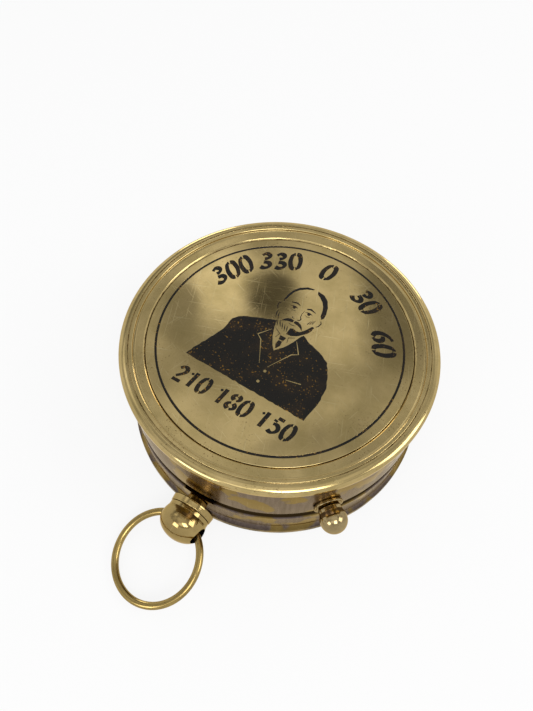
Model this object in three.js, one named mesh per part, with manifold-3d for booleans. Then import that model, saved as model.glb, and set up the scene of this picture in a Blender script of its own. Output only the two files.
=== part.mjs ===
// Round brass sundial compass with a hinged lid, a needle arrested by a side stud,
// a folding gnomon and a pendant with a bow ring. Millimetres, +Z up.
// The origin is the centre of the flat underside, and the pendant points along -Y.
import * as THREE from "three";
import { mergeVertices } from "three/addons/utils/BufferGeometryUtils.js";
import Module from "manifold-3d";

const wasm = await Module();
wasm.setup();

// Facets round large, middling and small turned pieces
const LARGE_SIDES = 48;
const MIDDLE_SIDES = 32;
const SMALL_SIDES = 16;
const WIRE_SIDES = 10;

// Case
const CASE_RADIUS = 31.2;
const CASE_HEIGHT = 22.6;
const BASE_THICKNESS = 2;
const RIM_WALL = 1.8;
const CHAMBER_WALL = 3;
const WELL_WALL = 5.6;
const FOOT_OVERHANG = 0.7;
const FOOT_HEIGHT = 2.2;
const FOOT_ROUND = 1;
const FOOT_COVE = 1.35;
const GROOVE_HEIGHT = 9.65;
const GROOVE_WIDTH = 3.2;
const GROOVE_DEPTH = 0.7;

// Lid, from its lip inwards
const LIP_OVERHANG = 0.8;
const LIP_HEIGHT = 2.2;
const LIP_ROUND = 0.7;
const LIP_CROWN = 1;
const LIP_WIDTH = 1.8;
const LIP_GROOVE_WIDTH = 0.2;
const LIP_GROOVE_DEPTH = 0.3;
const BEAD_WIDTH = 0.8;
const COVE_WIDTH = 0.5;
const BAND_WIDTH = 1.5;
const BAND_DROP = 0.65;
const JOINT_GROOVE_WIDTH = 0.3;
const JOINT_GROOVE_DEPTH = 0.35;
const PLATE_THICKNESS = 1;
const PLATE_DROP = 0.25;
const PLATE_GAP = 0.2;
const LEDGE_WIDTH = 1.9;
const LEDGE_THICKNESS = 0.8;
const SKIRT_DEPTH = 1.3;
const SKIRT_THICKNESS = 1.5;
const SKIRT_GAP = 0.4;
const SKIRT_CHAMFER = 0.7;
const PARTING_GAP = 0.1;

// Lid hinge, sunk in a notch of the wall
const HINGE_INSET = 0.2;
const HINGE_DROP = 1.4;
const KNUCKLE_RADIUS = 0.95;
const KNUCKLE_LENGTH = 3;
const LID_KNUCKLE_LENGTH = 4;
const KNUCKLE_GAP = 0.2;
const HINGE_PIN_RADIUS = 0.45;
const NOTCH_GAP = 0.15;
const TAB_THICKNESS = 1.2;

// Stack over the dial, from the lid skirt down
const SKIRT_CLEARANCE = 1.2;
const RETAINING_HEIGHT = 0.7;
const RETAINING_WIDTH = 1.3;
const HOUR_RING_THICKNESS = 0.7;
const HOUR_RING_WIDTH = 6.5;
const NOON_BAR_WIDTH = 5;
const GLASS_THICKNESS = 1;
const SEAT_GAP = 0.15;

// Needle and its lift, from the glass down
const GLASS_CLEARANCE = 0.3;
const NEEDLE_LIFT = 0.8;
const CAP_BOSS_HEIGHT = 0.7;
const CAP_BOSS_RADIUS = 1.4;
const NEEDLE_THICKNESS = 0.5;
const NEEDLE_HALF_WIDTH = 2.6;
const NEEDLE_CLEARANCE = 0.8;
const CAP_FLANGE_RADIUS = 2.4;
const CAP_FLANGE_HEIGHT = 0.5;
const CAP_BORE_RADIUS = 1.15;
const CAP_CUP_RADIUS = 0.35;
const CAP_CROWN = 0.5;
const LIFT_GAP = 0.3;
const COLLAR_RADIUS = 2.2;
const COLLAR_HEIGHT = 2.3;
const LEVER_THICKNESS = 0.5;
const LEVER_HEIGHT = 1.8;
const DIAL_THICKNESS = 0.8;

// Pivot post
const POST_RADIUS = 0.85;
const POST_TIP_RADIUS = 0.12;
const POST_TIP_GAP = 0.1;
const POST_FLANGE_RADIUS = 2.6;
const POST_FLANGE_HEIGHT = 0.8;
const POST_SHANK_RADIUS = 0.9;
const RUNNING_GAP = 0.05;
const FIXED_GAP = 0.1;

// Lifter lever and its fulcrum
const LEVER_WIDTH = 2.4;
const LEVER_EYE_RADIUS = 2.8;
const LEVER_EYE_BORE = 1.6;
const LEVER_OUTER_ARM = 8;
const CAM_RADIUS = 0.3;
const CAM_GAP = 0.3;
const CAM_INSET = 0.3;
const LEVER_WEIGHT_RADIUS = 2.05;
const LEVER_WEIGHT_HEIGHT = 1;
const FULCRUM_BARREL_RADIUS = 0.7;
const FULCRUM_DROP = 0.45;
const FULCRUM_PIN_RADIUS = 0.35;
const FULCRUM_EAR = 0.9;
const FULCRUM_EAR_GAP = 0.3;
const FULCRUM_LENGTH = 2.4;
const FULCRUM_FLOOR = 0.4;
const FULCRUM_EAR_MARGIN = 0.4;

// Side stud: bush, knob, plunger rod, spring and bracket
const STUD_AZIMUTH = THREE.MathUtils.degToRad(-42);
const STUD_TRAVEL = 1;
const ROD_RADIUS = 0.8;
const ROD_CLEARANCE = 0.9;
const NOSE_RADIUS = 0.2;
const NOSE_LENGTH = 1;
const NOSE_REACH = 2.4;
const ROD_COLLAR_RADIUS = 1.6;
const ROD_COLLAR_THICKNESS = 0.7;
const STOP_GAP = 0.2;
const BUSH_COLLAR_RADIUS = 2.9;
const BUSH_COLLAR_LENGTH = 0.5;
const BUSH_SHANK_RADIUS = 2.55;
const BUSH_PROUD = 1.3;
const KNOB_NECK_RADIUS = 2.1;
const KNOB_NECK_LENGTH = 1.15;
const KNOB_RADIUS = 2.68;
const KNOB_INSERT = 0.15;
const KNOB_WALL = 1.9;
const SPRING_LENGTH = 2.8;
const SPRING_RADIUS = 1.25;
const SPRING_WIRE = 0.3;
const SPRING_TURNS = 3;
const BRACKET_THICKNESS = 0.8;
const BRACKET_WIDTH = 5;
const BRACKET_MARGIN = 0.8;
const BRACKET_FOOT = 2.6;

// Small screws
const SCREW_RADIUS = 0.5;
const SCREW_HEAD_RADIUS = 1;
const SCREW_HEAD_HEIGHT = 0.5;
const SCREW_LENGTH = 2.4;
const BRACKET_SCREW_LENGTH = 2;
const DIAL_SCREW_COUNT = 3;

// Gnomon
const GNOMON_LENGTH = 22;
const GNOMON_HEIGHT = 16;
const GNOMON_THICKNESS = 0.7;
const GNOMON_TOE = 1.5;
const GNOMON_HOLLOW = 4;
const GNOMON_BARREL_LENGTH = 6;
const GNOMON_BARREL_RADIUS = 0.7;
const GNOMON_PIN_RADIUS = 0.3;
const LUG_LENGTH = 1.8;
const LUG_GAP = 0.2;
const HEEL_GAP = 0.4;

// Pendant and bow ring
const PENDANT_HEIGHT = 5.8;
const BOSS_RADIUS = 2.2;
const BOSS_LENGTH = 1.4;
const FLANGE_RADIUS = 4.65;
const FLANGE_LENGTH = 1.4;
const FLANGE_CHAMFER = 0.25;
const BALL_RADIUS = 4.75;
const BALL_DOME = 3.4;
const BALL_NECK_RADIUS = 3.9;
const BALL_NECK_LENGTH = 0.3;
const BALL_STRAIGHT = 2.7;
const SHANK_RADIUS = 1.5;
const SHANK_SETBACK = 0.2;
const CROSS_HOLE_RADIUS = 1.85;
const CROSS_HOLE_OFFSET = -0.1;
const CROSS_HOLE_DROP = 0.45;
const CROSS_HOLE_YAW = THREE.MathUtils.degToRad(-8);
const BOW_RADIUS = 8.9;
const BOW_WIRE = 0.75;
const BOW_SAG = 0.97;
const BOW_DROP = 0.11;
const BOW_ROLL = THREE.MathUtils.degToRad(10.8);
const BOW_TILT = THREE.MathUtils.degToRad(12.5);
const BOW_YAW = THREE.MathUtils.degToRad(-10.1);

// Levels that follow from the stack
const lidZ = CASE_HEIGHT + PARTING_GAP;
const skirtZ = lidZ - SKIRT_DEPTH;
const retainingZ = skirtZ - SKIRT_CLEARANCE - RETAINING_HEIGHT;
const hourZ = retainingZ - HOUR_RING_THICKNESS;
const glassZ = hourZ - GLASS_THICKNESS;
const capFlangeTopZ = glassZ - GLASS_CLEARANCE - NEEDLE_LIFT - CAP_BOSS_HEIGHT - NEEDLE_THICKNESS;
const capZ = capFlangeTopZ - CAP_FLANGE_HEIGHT;
const capTopZ = capFlangeTopZ + NEEDLE_THICKNESS + CAP_BOSS_HEIGHT;
const collarZ = capZ - LIFT_GAP - COLLAR_HEIGHT;
const leverTopZ = collarZ - LIFT_GAP;
const leverZ = leverTopZ - LEVER_THICKNESS;
const dialTopZ = leverZ - LEVER_HEIGHT;
const dialZ = dialTopZ - DIAL_THICKNESS;
const studZ = leverTopZ + ROD_CLEARANCE + ROD_RADIUS;

// Radii that follow from the case
const rimBore = CASE_RADIUS - RIM_WALL;
const chamberBore = CASE_RADIUS - CHAMBER_WALL;
const wellBore = CASE_RADIUS - WELL_WALL;
const footRadius = CASE_RADIUS + FOOT_OVERHANG;
const lidRadius = CASE_RADIUS + LIP_OVERHANG;
const seatRadius = rimBore - SEAT_GAP;
const dialRadius = chamberBore - SEAT_GAP;
const dialScrewRadius = (wellBore + chamberBore) / 2;

// Stations along the stud's axis, measured from the case's axis
const wallFace = CASE_RADIUS + FIXED_GAP;
const bushInner = chamberBore - BUSH_PROUD;
const rodCollarOuter = bushInner - STOP_GAP;
const rodCollarInner = rodCollarOuter - ROD_COLLAR_THICKNESS;
const bracketOuter = rodCollarInner - SPRING_LENGTH;
const bracketInner = bracketOuter - BRACKET_THICKNESS;
const noseTip = bracketInner - NOSE_REACH;
const camStation = noseTip + CAM_INSET;
const fulcrumStation = camStation - LEVER_OUTER_ARM;
const needleReach = bracketInner - NEEDLE_CLEARANCE;
const bushOuter = wallFace + BUSH_COLLAR_LENGTH;
const knobInner = bushOuter - KNOB_INSERT;

// Inner end of the pendant's shank, short of the chamber
const shankEnd = chamberBore + SHANK_SETBACK;

// Hinge axis and the floor of the notch, which is open to the rim's bore
const hingeY = CASE_RADIUS - HINGE_INSET;
const hingeZ = CASE_HEIGHT - HINGE_DROP;
const knuckleStart = LID_KNUCKLE_LENGTH / 2 + KNUCKLE_GAP;
const knuckleEnd = knuckleStart + KNUCKLE_LENGTH;
const notchFloor = hingeZ - KNUCKLE_RADIUS - NOTCH_GAP;

// Materials
const metal = (color, roughness) => new THREE.MeshStandardMaterial({ color, roughness, metalness: 1 });
const agedBrass = metal(0xa08c50, 0.34);
const polishedBrass = metal(0xb99a55, 0.2);
const tarnishedBrass = metal(0x8c7a52, 0.38);
const etchedBrass = metal(0xa2905a, 0.3);
const silvered = metal(0xc9c4b2, 0.45);
const steel = metal(0x8f9296, 0.35);
const blued = metal(0x2c3d66, 0.35);
const windowGlass = new THREE.MeshStandardMaterial({
  color: 0xe6efec,
  roughness: 0.05,
  metalness: 0,
  transparent: true,
  opacity: 0.3,
});

// A closed geometry as a solid for cuts and joins.
function solidOf(geometry) {
  const bare = geometry.index ? geometry.toNonIndexed() : geometry.clone();
  bare.deleteAttribute("normal");
  bare.deleteAttribute("uv");
  const merged = mergeVertices(bare, 1e-4);
  const mesh = new wasm.Mesh({
    numProp: 3,
    vertProperties: merged.attributes.position.array,
    triVerts: new Uint32Array(merged.index.array),
  });
  return new wasm.Manifold(mesh);
}

// A solid as a geometry for a mesh.
function geometryOf(solid) {
  const mesh = solid.getMesh();
  const geometry = new THREE.BufferGeometry();
  geometry.setAttribute("position", new THREE.BufferAttribute(mesh.vertProperties, 3));
  geometry.setIndex(new THREE.BufferAttribute(mesh.triVerts, 1));
  return geometry;
}

const cut = (geometry, tools) =>
  geometryOf(tools.reduce((rest, tool) => rest.subtract(solidOf(tool)), solidOf(geometry)));

const join = (geometries) =>
  geometryOf(geometries.map(solidOf).reduce((whole, piece) => whole.add(piece)));

function piece(name, geometry, material) {
  const mesh = new THREE.Mesh(geometry, material);
  mesh.name = name;
  return mesh;
}

// Points on an arc of a profile, by angle in degrees from the outward direction.
function arc(centreR, centreZ, radius, fromDeg, toDeg, steps) {
  return Array.from({ length: steps + 1 }, (_, i) => {
    const angle = THREE.MathUtils.degToRad(fromDeg + ((toDeg - fromDeg) * i) / steps);
    return [centreR + radius * Math.cos(angle), centreZ + radius * Math.sin(angle)];
  });
}

// A solid turned about Z. The profile runs anticlockwise, with the radius to the right and Z up.
function turned(profile, sides) {
  const points = profile.map(([r, z]) => new THREE.Vector2(r, z));
  return new THREE.LatheGeometry(points, sides).rotateX(Math.PI / 2);
}

// A turned disc or washer between two levels.
function disc(radius, bottom, top, sides, bore = 0) {
  const profile = [[bore, bottom], [radius, bottom], [radius, top], [bore, top]];
  return turned(bore > 0 ? [...profile, profile[0]] : profile, sides);
}

// A turned solid laid along +X.
const turnedAlongX = (profile, sides) => turned(profile, sides).rotateY(Math.PI / 2);

// A rod laid along X, or along Y.
const rodAlongX = (radius, from, to, sides) => disc(radius, from, to, sides).rotateY(Math.PI / 2);
const rodAlongY = (radius, from, to, sides) => disc(radius, from, to, sides).rotateX(-Math.PI / 2);

// A box given by its lowest and highest corners.
function box(low, high) {
  const size = high.map((value, i) => value - low[i]);
  const middle = high.map((value, i) => (value + low[i]) / 2);
  return new THREE.BoxGeometry(...size).translate(...middle);
}

// An outline in the XY plane raised between two levels.
function plate(shape, bottom, top, curveSegments) {
  const options = { depth: top - bottom, bevelEnabled: false, curveSegments };
  return new THREE.ExtrudeGeometry(shape, options).translate(0, 0, bottom);
}

function caseBody() {
  const grooveHalf = GROOVE_WIDTH / 2;
  const grooveStations = [-1, -0.5, 0, 0.5, 1];
  const groove = grooveStations.map((share) => [
    CASE_RADIUS - GROOVE_DEPTH * (1 - share * share),
    GROOVE_HEIGHT + share * grooveHalf,
  ]);
  const coveStations = [0, 0.5, 1];
  const cove = coveStations.map((share) => [
    CASE_RADIUS + FOOT_OVERHANG * (1 - share) ** 2,
    FOOT_HEIGHT + FOOT_COVE * share,
  ]);
  const profile = [
    [0, 0],
    ...arc(footRadius - FOOT_ROUND, FOOT_ROUND, FOOT_ROUND, -90, 0, 3),
    ...cove,
    ...groove,
    [CASE_RADIUS, CASE_HEIGHT],
    [rimBore, CASE_HEIGHT],
    [rimBore, glassZ],
    [chamberBore, glassZ],
    [chamberBore, dialZ],
    [wellBore, dialZ],
    [wellBore, BASE_THICKNESS],
    [0, BASE_THICKNESS],
  ];
  const notchHalf = knuckleEnd + KNUCKLE_GAP;
  const notch = box([-notchHalf, rimBore - RIM_WALL, notchFloor], [notchHalf, footRadius, lidZ]);
  const through = 2 * CHAMBER_WALL;
  const studHole = rodAlongX(
    BUSH_SHANK_RADIUS + FIXED_GAP, CASE_RADIUS - through, CASE_RADIUS + through, MIDDLE_SIDES);
  studHole.rotateZ(STUD_AZIMUTH).translate(0, 0, studZ);
  const shankHole = rodAlongY(
    SHANK_RADIUS + FIXED_GAP, -CASE_RADIUS - through, FIXED_GAP - shankEnd, MIDDLE_SIDES);
  shankHole.translate(0, 0, PENDANT_HEIGHT);
  const screwHoles = dialScrewPlaces().map(([x, y]) =>
    disc(SCREW_RADIUS + FIXED_GAP, dialZ - SCREW_LENGTH, dialTopZ, SMALL_SIDES).translate(x, y, 0));
  return cut(turned(profile, LARGE_SIDES), [notch, studHole, shankHole, ...screwHoles]);
}

// Dial screws are spread evenly, with the last one over the pendant.
function dialScrewPlaces() {
  return Array.from({ length: DIAL_SCREW_COUNT }, (_, i) => {
    const angle = -Math.PI / 2 + ((i + 1) * 2 * Math.PI) / DIAL_SCREW_COUNT;
    return [dialScrewRadius * Math.cos(angle), dialScrewRadius * Math.sin(angle)];
  });
}

// The lid's mouldings, worked inwards from the lip.
const lipTopZ = lidZ + LIP_HEIGHT;
const lipInner = lidRadius - LIP_WIDTH;
const beadOuter = lipInner - LIP_GROOVE_WIDTH;
const beadInner = beadOuter - BEAD_WIDTH;
const bandOuter = beadInner - COVE_WIDTH;
const bandInner = bandOuter - BAND_WIDTH;
const rebateRadius = bandInner - JOINT_GROOVE_WIDTH;
const bandZ = lipTopZ - BAND_DROP;
const plateTopZ = bandZ - PLATE_DROP;
const plateZ = plateTopZ - PLATE_THICKNESS;
const plateRadius = rebateRadius - PLATE_GAP;

function lidRing() {
  const skirtOuter = rimBore - SKIRT_GAP;
  const skirtInner = skirtOuter - SKIRT_THICKNESS;
  const ledgeRadius = rebateRadius - LEDGE_WIDTH;
  const ledgeZ = plateZ - LEDGE_THICKNESS;
  const beadRadius = BEAD_WIDTH / 2;
  const profile = [
    [ledgeRadius, ledgeZ],
    [skirtInner, ledgeZ],
    [skirtInner, skirtZ],
    [skirtOuter - SKIRT_CHAMFER, skirtZ],
    [skirtOuter, skirtZ + SKIRT_CHAMFER],
    [skirtOuter, lidZ],
    ...arc(lidRadius - LIP_ROUND, lidZ + LIP_ROUND, LIP_ROUND, -90, 0, 3),
    ...arc(lidRadius - LIP_CROWN, lipTopZ - LIP_CROWN, LIP_CROWN, 0, 90, 4),
    [lipInner, lipTopZ],
    [lipInner, lipTopZ - LIP_GROOVE_DEPTH],
    ...arc(beadOuter - beadRadius, lipTopZ - beadRadius, beadRadius, 0, 180, 4),
    [beadInner, bandZ + (BAND_DROP - beadRadius) / 2],
    [bandOuter, bandZ],
    [bandInner, bandZ],
    [rebateRadius, bandZ - JOINT_GROOVE_DEPTH],
    [rebateRadius, plateZ],
    [ledgeRadius, plateZ],
    [ledgeRadius, ledgeZ],
  ];
  return turned(profile, LARGE_SIDES);
}

function lid() {
  const group = new THREE.Group();
  group.add(piece("lid_ring", lidRing(), agedBrass));
  group.add(piece("lid_plate", disc(plateRadius, plateZ, plateTopZ, LARGE_SIDES), etchedBrass));
  return group;
}

// A hinge knuckle with its tab, bored for the pin. The tab runs up to the lid or down to the notch.
function knuckle(from, to, tabLow, tabHigh) {
  const barrel = rodAlongX(KNUCKLE_RADIUS, from, to, SMALL_SIDES).translate(0, hingeY, hingeZ);
  const tabBack = hingeY - KNUCKLE_RADIUS;
  const tab = box([from, tabBack, tabLow], [to, tabBack + TAB_THICKNESS, tabHigh]);
  const boreRadius = HINGE_PIN_RADIUS + RUNNING_GAP;
  const bore = rodAlongX(boreRadius, from - KNUCKLE_GAP, to + KNUCKLE_GAP, SMALL_SIDES);
  bore.translate(0, hingeY, hingeZ);
  return cut(join([barrel, tab]), [bore]);
}

function hinge() {
  const group = new THREE.Group();
  const left = knuckle(-knuckleEnd, -knuckleStart, notchFloor, hingeZ);
  const right = knuckle(knuckleStart, knuckleEnd, notchFloor, hingeZ);
  const middle = knuckle(-LID_KNUCKLE_LENGTH / 2, LID_KNUCKLE_LENGTH / 2, hingeZ, lidZ);
  const pin = rodAlongX(HINGE_PIN_RADIUS, -knuckleEnd, knuckleEnd, SMALL_SIDES);
  pin.translate(0, hingeY, hingeZ);
  group.add(piece("hinge_knuckle_left", left, tarnishedBrass));
  group.add(piece("hinge_knuckle_right", right, tarnishedBrass));
  group.add(piece("lid_knuckle", middle, tarnishedBrass));
  group.add(piece("hinge_pin", pin, steel));
  return group;
}

// A cheese-head screw whose head rests on a level.
function screw(restZ, length) {
  return turned(
    [
      [0, restZ - length],
      [SCREW_RADIUS, restZ - length],
      [SCREW_RADIUS, restZ],
      [SCREW_HEAD_RADIUS, restZ],
      [SCREW_HEAD_RADIUS, restZ + SCREW_HEAD_HEIGHT],
      [0, restZ + SCREW_HEAD_HEIGHT],
    ],
    SMALL_SIDES,
  );
}

const bracketScrewStation = bracketOuter + BRACKET_FOOT / 2;

function dial() {
  const group = new THREE.Group();
  const below = dialZ - SCREW_LENGTH;
  const screwBore = SCREW_RADIUS + FIXED_GAP;
  const holes = dialScrewPlaces().map(([x, y]) =>
    disc(screwBore, below, dialTopZ + SCREW_LENGTH, SMALL_SIDES).translate(x, y, 0));
  const bracketHole = disc(screwBore, below, dialTopZ + SCREW_LENGTH, SMALL_SIDES);
  bracketHole.translate(bracketScrewStation, 0, 0).rotateZ(STUD_AZIMUTH);
  const shankHole = disc(POST_SHANK_RADIUS + FIXED_GAP, below, dialTopZ + SCREW_LENGTH, SMALL_SIDES);
  const sheet = disc(dialRadius, dialZ, dialTopZ, LARGE_SIDES);
  group.add(piece("dial_plate", cut(sheet, [...holes, bracketHole, shankHole]), silvered));
  dialScrewPlaces().forEach(([x, y], i) => {
    const fixing = piece(`dial_screw_${i + 1}`, screw(dialTopZ, SCREW_LENGTH), steel);
    fixing.position.set(x, y, 0);
    group.add(fixing);
  });
  return group;
}

function needle() {
  const group = new THREE.Group();
  const cupZ = capTopZ - CAP_CROWN;
  const post = turned(
    [
      [0, dialZ],
      [POST_SHANK_RADIUS, dialZ],
      [POST_SHANK_RADIUS, dialTopZ],
      [POST_FLANGE_RADIUS, dialTopZ],
      [POST_FLANGE_RADIUS, dialTopZ + POST_FLANGE_HEIGHT],
      [POST_RADIUS, dialTopZ + POST_FLANGE_HEIGHT],
      [POST_RADIUS, capZ],
      [POST_TIP_RADIUS, cupZ - POST_TIP_GAP],
      [0, cupZ - POST_TIP_GAP],
    ],
    SMALL_SIDES,
  );
  const cap = turned(
    [
      [0, cupZ],
      [CAP_CUP_RADIUS, cupZ],
      [CAP_BORE_RADIUS, capZ],
      [CAP_FLANGE_RADIUS, capZ],
      [CAP_FLANGE_RADIUS, capFlangeTopZ],
      [CAP_BOSS_RADIUS, capFlangeTopZ],
      [CAP_BOSS_RADIUS, capTopZ],
      [0, capTopZ],
    ],
    SMALL_SIDES,
  );
  const collarBore = POST_RADIUS + FIXED_GAP;
  const collar = disc(COLLAR_RADIUS, collarZ, collarZ + COLLAR_HEIGHT, SMALL_SIDES, collarBore);
  const blade = new THREE.Shape();
  blade.moveTo(0, needleReach);
  blade.lineTo(-NEEDLE_HALF_WIDTH, 0);
  blade.lineTo(0, -needleReach);
  blade.lineTo(NEEDLE_HALF_WIDTH, 0);
  const eye = new THREE.Path();
  eye.absarc(0, 0, CAP_BOSS_RADIUS + FIXED_GAP, 0, 2 * Math.PI, true);
  blade.holes.push(eye);
  const bladeTopZ = capFlangeTopZ + NEEDLE_THICKNESS;
  group.add(piece("pivot_post", post, polishedBrass));
  group.add(piece("needle_cap", cap, polishedBrass));
  group.add(piece("lift_collar", collar, polishedBrass));
  group.add(piece("needle", plate(blade, capFlangeTopZ, bladeTopZ, SMALL_SIDES), blued));
  return group;
}

function lifter() {
  const group = new THREE.Group();
  group.rotation.z = STUD_AZIMUTH;
  const half = LEVER_WIDTH / 2;
  const meet = Math.asin(half / LEVER_EYE_RADIUS);
  const strip = new THREE.Shape();
  strip.moveTo(camStation + half, half);
  strip.lineTo(LEVER_EYE_RADIUS * Math.cos(meet), half);
  strip.absarc(0, 0, LEVER_EYE_RADIUS, meet, 2 * Math.PI - meet, false);
  strip.lineTo(camStation + half, -half);
  const eye = new THREE.Path();
  eye.absarc(0, 0, LEVER_EYE_BORE, 0, 2 * Math.PI, true);
  strip.holes.push(eye);
  const noseSlope = (ROD_RADIUS - NOSE_RADIUS) / NOSE_LENGTH;
  const camTopZ = studZ - NOSE_RADIUS - CAM_INSET * noseSlope - CAM_GAP;
  const cam = disc(CAM_RADIUS, leverZ, camTopZ, SMALL_SIDES).translate(camStation, 0, 0);
  const pinZ = leverZ - FULCRUM_DROP;
  const barrel = rodAlongY(FULCRUM_BARREL_RADIUS, -half, half, SMALL_SIDES);
  barrel.translate(fulcrumStation, 0, pinZ);
  const weight = disc(LEVER_WEIGHT_RADIUS, leverZ - LEVER_WEIGHT_HEIGHT, leverTopZ, SMALL_SIDES);
  weight.translate(camStation + half - LEVER_WEIGHT_RADIUS, 0, 0);
  const earInner = half + FULCRUM_EAR_GAP;
  const earOuter = earInner + FULCRUM_EAR;
  const boreRadius = FULCRUM_PIN_RADIUS + RUNNING_GAP;
  const bore = rodAlongY(boreRadius, -earOuter - FULCRUM_EAR, earOuter + FULCRUM_EAR, SMALL_SIDES);
  bore.translate(fulcrumStation, 0, pinZ);
  const arm = plate(strip, leverZ, leverTopZ, SMALL_SIDES);
  const lever = cut(join([arm, cam, weight, barrel]), [bore]);
  const low = fulcrumStation - FULCRUM_LENGTH / 2;
  const high = fulcrumStation + FULCRUM_LENGTH / 2;
  const earTopZ = pinZ + FULCRUM_PIN_RADIUS + FULCRUM_EAR_MARGIN;
  const ears = box([low, -earOuter, dialTopZ], [high, earOuter, earTopZ]);
  const slot = box(
    [low - half, -earInner, dialTopZ + FULCRUM_FLOOR], [high + half, earInner, earTopZ + half]);
  const pin = rodAlongY(FULCRUM_PIN_RADIUS, -earOuter, earOuter, SMALL_SIDES);
  pin.translate(fulcrumStation, 0, pinZ);
  group.add(piece("lifter_lever", lever, polishedBrass));
  group.add(piece("fulcrum_block", cut(ears, [slot, bore]), polishedBrass));
  group.add(piece("fulcrum_pin", pin, steel));
  return group;
}

// A coil along X: one tube wound at an even pitch, with square ends.
class Helix extends THREE.Curve {
  getPoint(t, target = new THREE.Vector3()) {
    const angle = 2 * Math.PI * SPRING_TURNS * t;
    const run = SPRING_LENGTH - 2 * SPRING_WIRE;
    const x = bracketOuter + SPRING_WIRE + run * t;
    return target.set(x, SPRING_RADIUS * Math.cos(angle), SPRING_RADIUS * Math.sin(angle));
  }
}

function coil() {
  const sides = 3;
  const stepsPerTurn = 14;
  const section = new THREE.Shape();
  section.absarc(0, 0, SPRING_WIRE / 2, 0, 2 * Math.PI, false);
  const options = {
    steps: SPRING_TURNS * stepsPerTurn,
    extrudePath: new Helix(),
    bevelEnabled: false,
    curveSegments: sides,
  };
  return new THREE.ExtrudeGeometry(section, options);
}

function stud() {
  const group = new THREE.Group();
  group.rotation.z = STUD_AZIMUTH;
  group.position.z = studZ;
  const rodBore = ROD_RADIUS + RUNNING_GAP;
  const neckBore = KNOB_NECK_RADIUS + FIXED_GAP;
  const counterboreFloor = knobInner - STUD_TRAVEL - FIXED_GAP;
  const bush = turnedAlongX(
    [
      [rodBore, bushInner],
      [BUSH_SHANK_RADIUS, bushInner],
      [BUSH_SHANK_RADIUS, wallFace],
      [BUSH_COLLAR_RADIUS, wallFace],
      [BUSH_COLLAR_RADIUS, bushOuter],
      [neckBore, bushOuter],
      [neckBore, counterboreFloor],
      [rodBore, counterboreFloor],
      [rodBore, bushInner],
    ],
    MIDDLE_SIDES,
  );
  const neckEnd = knobInner + KNOB_NECK_LENGTH;
  const neckAngle = THREE.MathUtils.radToDeg(Math.asin(KNOB_NECK_RADIUS / KNOB_RADIUS));
  const bulbCentre = neckEnd + KNOB_RADIUS * Math.cos(THREE.MathUtils.degToRad(neckAngle));
  const rodEnd = bulbCentre + KNOB_RADIUS - KNOB_WALL;
  const knob = turnedAlongX(
    [
      [rodBore, knobInner],
      [KNOB_NECK_RADIUS, knobInner],
      ...arc(0, bulbCentre, KNOB_RADIUS, neckAngle - 90, 90, 9),
      [0, rodEnd + FIXED_GAP],
      [rodBore, rodEnd + FIXED_GAP],
      [rodBore, knobInner],
    ],
    MIDDLE_SIDES,
  );
  const rod = turnedAlongX(
    [
      [0, noseTip],
      [NOSE_RADIUS, noseTip],
      [ROD_RADIUS, noseTip + NOSE_LENGTH],
      [ROD_RADIUS, rodCollarInner],
      [ROD_COLLAR_RADIUS, rodCollarInner],
      [ROD_COLLAR_RADIUS, rodCollarOuter],
      [ROD_RADIUS, rodCollarOuter],
      [ROD_RADIUS, rodEnd],
      [0, rodEnd],
    ],
    MIDDLE_SIDES,
  );
  const footZ = dialTopZ - studZ;
  const width = BRACKET_WIDTH / 2;
  const upright = box([bracketInner, -width, footZ], [bracketOuter, width, ROD_RADIUS + BRACKET_MARGIN]);
  const foot = box(
    [bracketInner, -width, footZ], [bracketOuter + BRACKET_FOOT, width, footZ + BRACKET_THICKNESS]);
  const guide = rodAlongX(
    ROD_RADIUS + FIXED_GAP,
    bracketInner - BRACKET_THICKNESS,
    bracketOuter + BRACKET_THICKNESS,
    MIDDLE_SIDES,
  );
  const screwHole = disc(
    SCREW_RADIUS + FIXED_GAP, footZ - BRACKET_THICKNESS, footZ + 2 * BRACKET_THICKNESS, SMALL_SIDES);
  screwHole.translate(bracketScrewStation, 0, 0);
  const fixing = screw(footZ + BRACKET_THICKNESS, BRACKET_SCREW_LENGTH);
  fixing.translate(bracketScrewStation, 0, 0);
  group.add(piece("stud_bush", bush, polishedBrass));
  group.add(piece("stud_knob", knob, polishedBrass));
  group.add(piece("plunger_rod", rod, steel));
  group.add(piece("return_spring", coil(), steel));
  group.add(piece("spring_bracket", cut(join([upright, foot]), [guide, screwHole]), polishedBrass));
  group.add(piece("bracket_screw", fixing, steel));
  return group;
}

function hourRing() {
  const inner = seatRadius - HOUR_RING_WIDTH;
  const barHalf = NOON_BAR_WIDTH / 2;
  const reach = Math.acos(barHalf / inner);
  const shape = new THREE.Shape();
  shape.absarc(0, 0, seatRadius, 0, 2 * Math.PI, false);
  const halves = [0, Math.PI].map((turn) => {
    const opening = new THREE.Path();
    opening.absarc(0, 0, inner, turn + reach, turn - reach, true);
    opening.closePath();
    return opening;
  });
  shape.holes.push(...halves);
  return plate(shape, hourZ, hourZ + HOUR_RING_THICKNESS, LARGE_SIDES / 2);
}

function windowStack() {
  const group = new THREE.Group();
  const retainingTop = retainingZ + RETAINING_HEIGHT;
  const retaining = disc(seatRadius, retainingZ, retainingTop, LARGE_SIDES, seatRadius - RETAINING_WIDTH);
  group.add(piece("glass", disc(seatRadius, glassZ, hourZ, LARGE_SIDES), windowGlass));
  group.add(piece("hour_ring", hourRing(), agedBrass));
  group.add(piece("retaining_ring", retaining, polishedBrass));
  return group;
}

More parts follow.
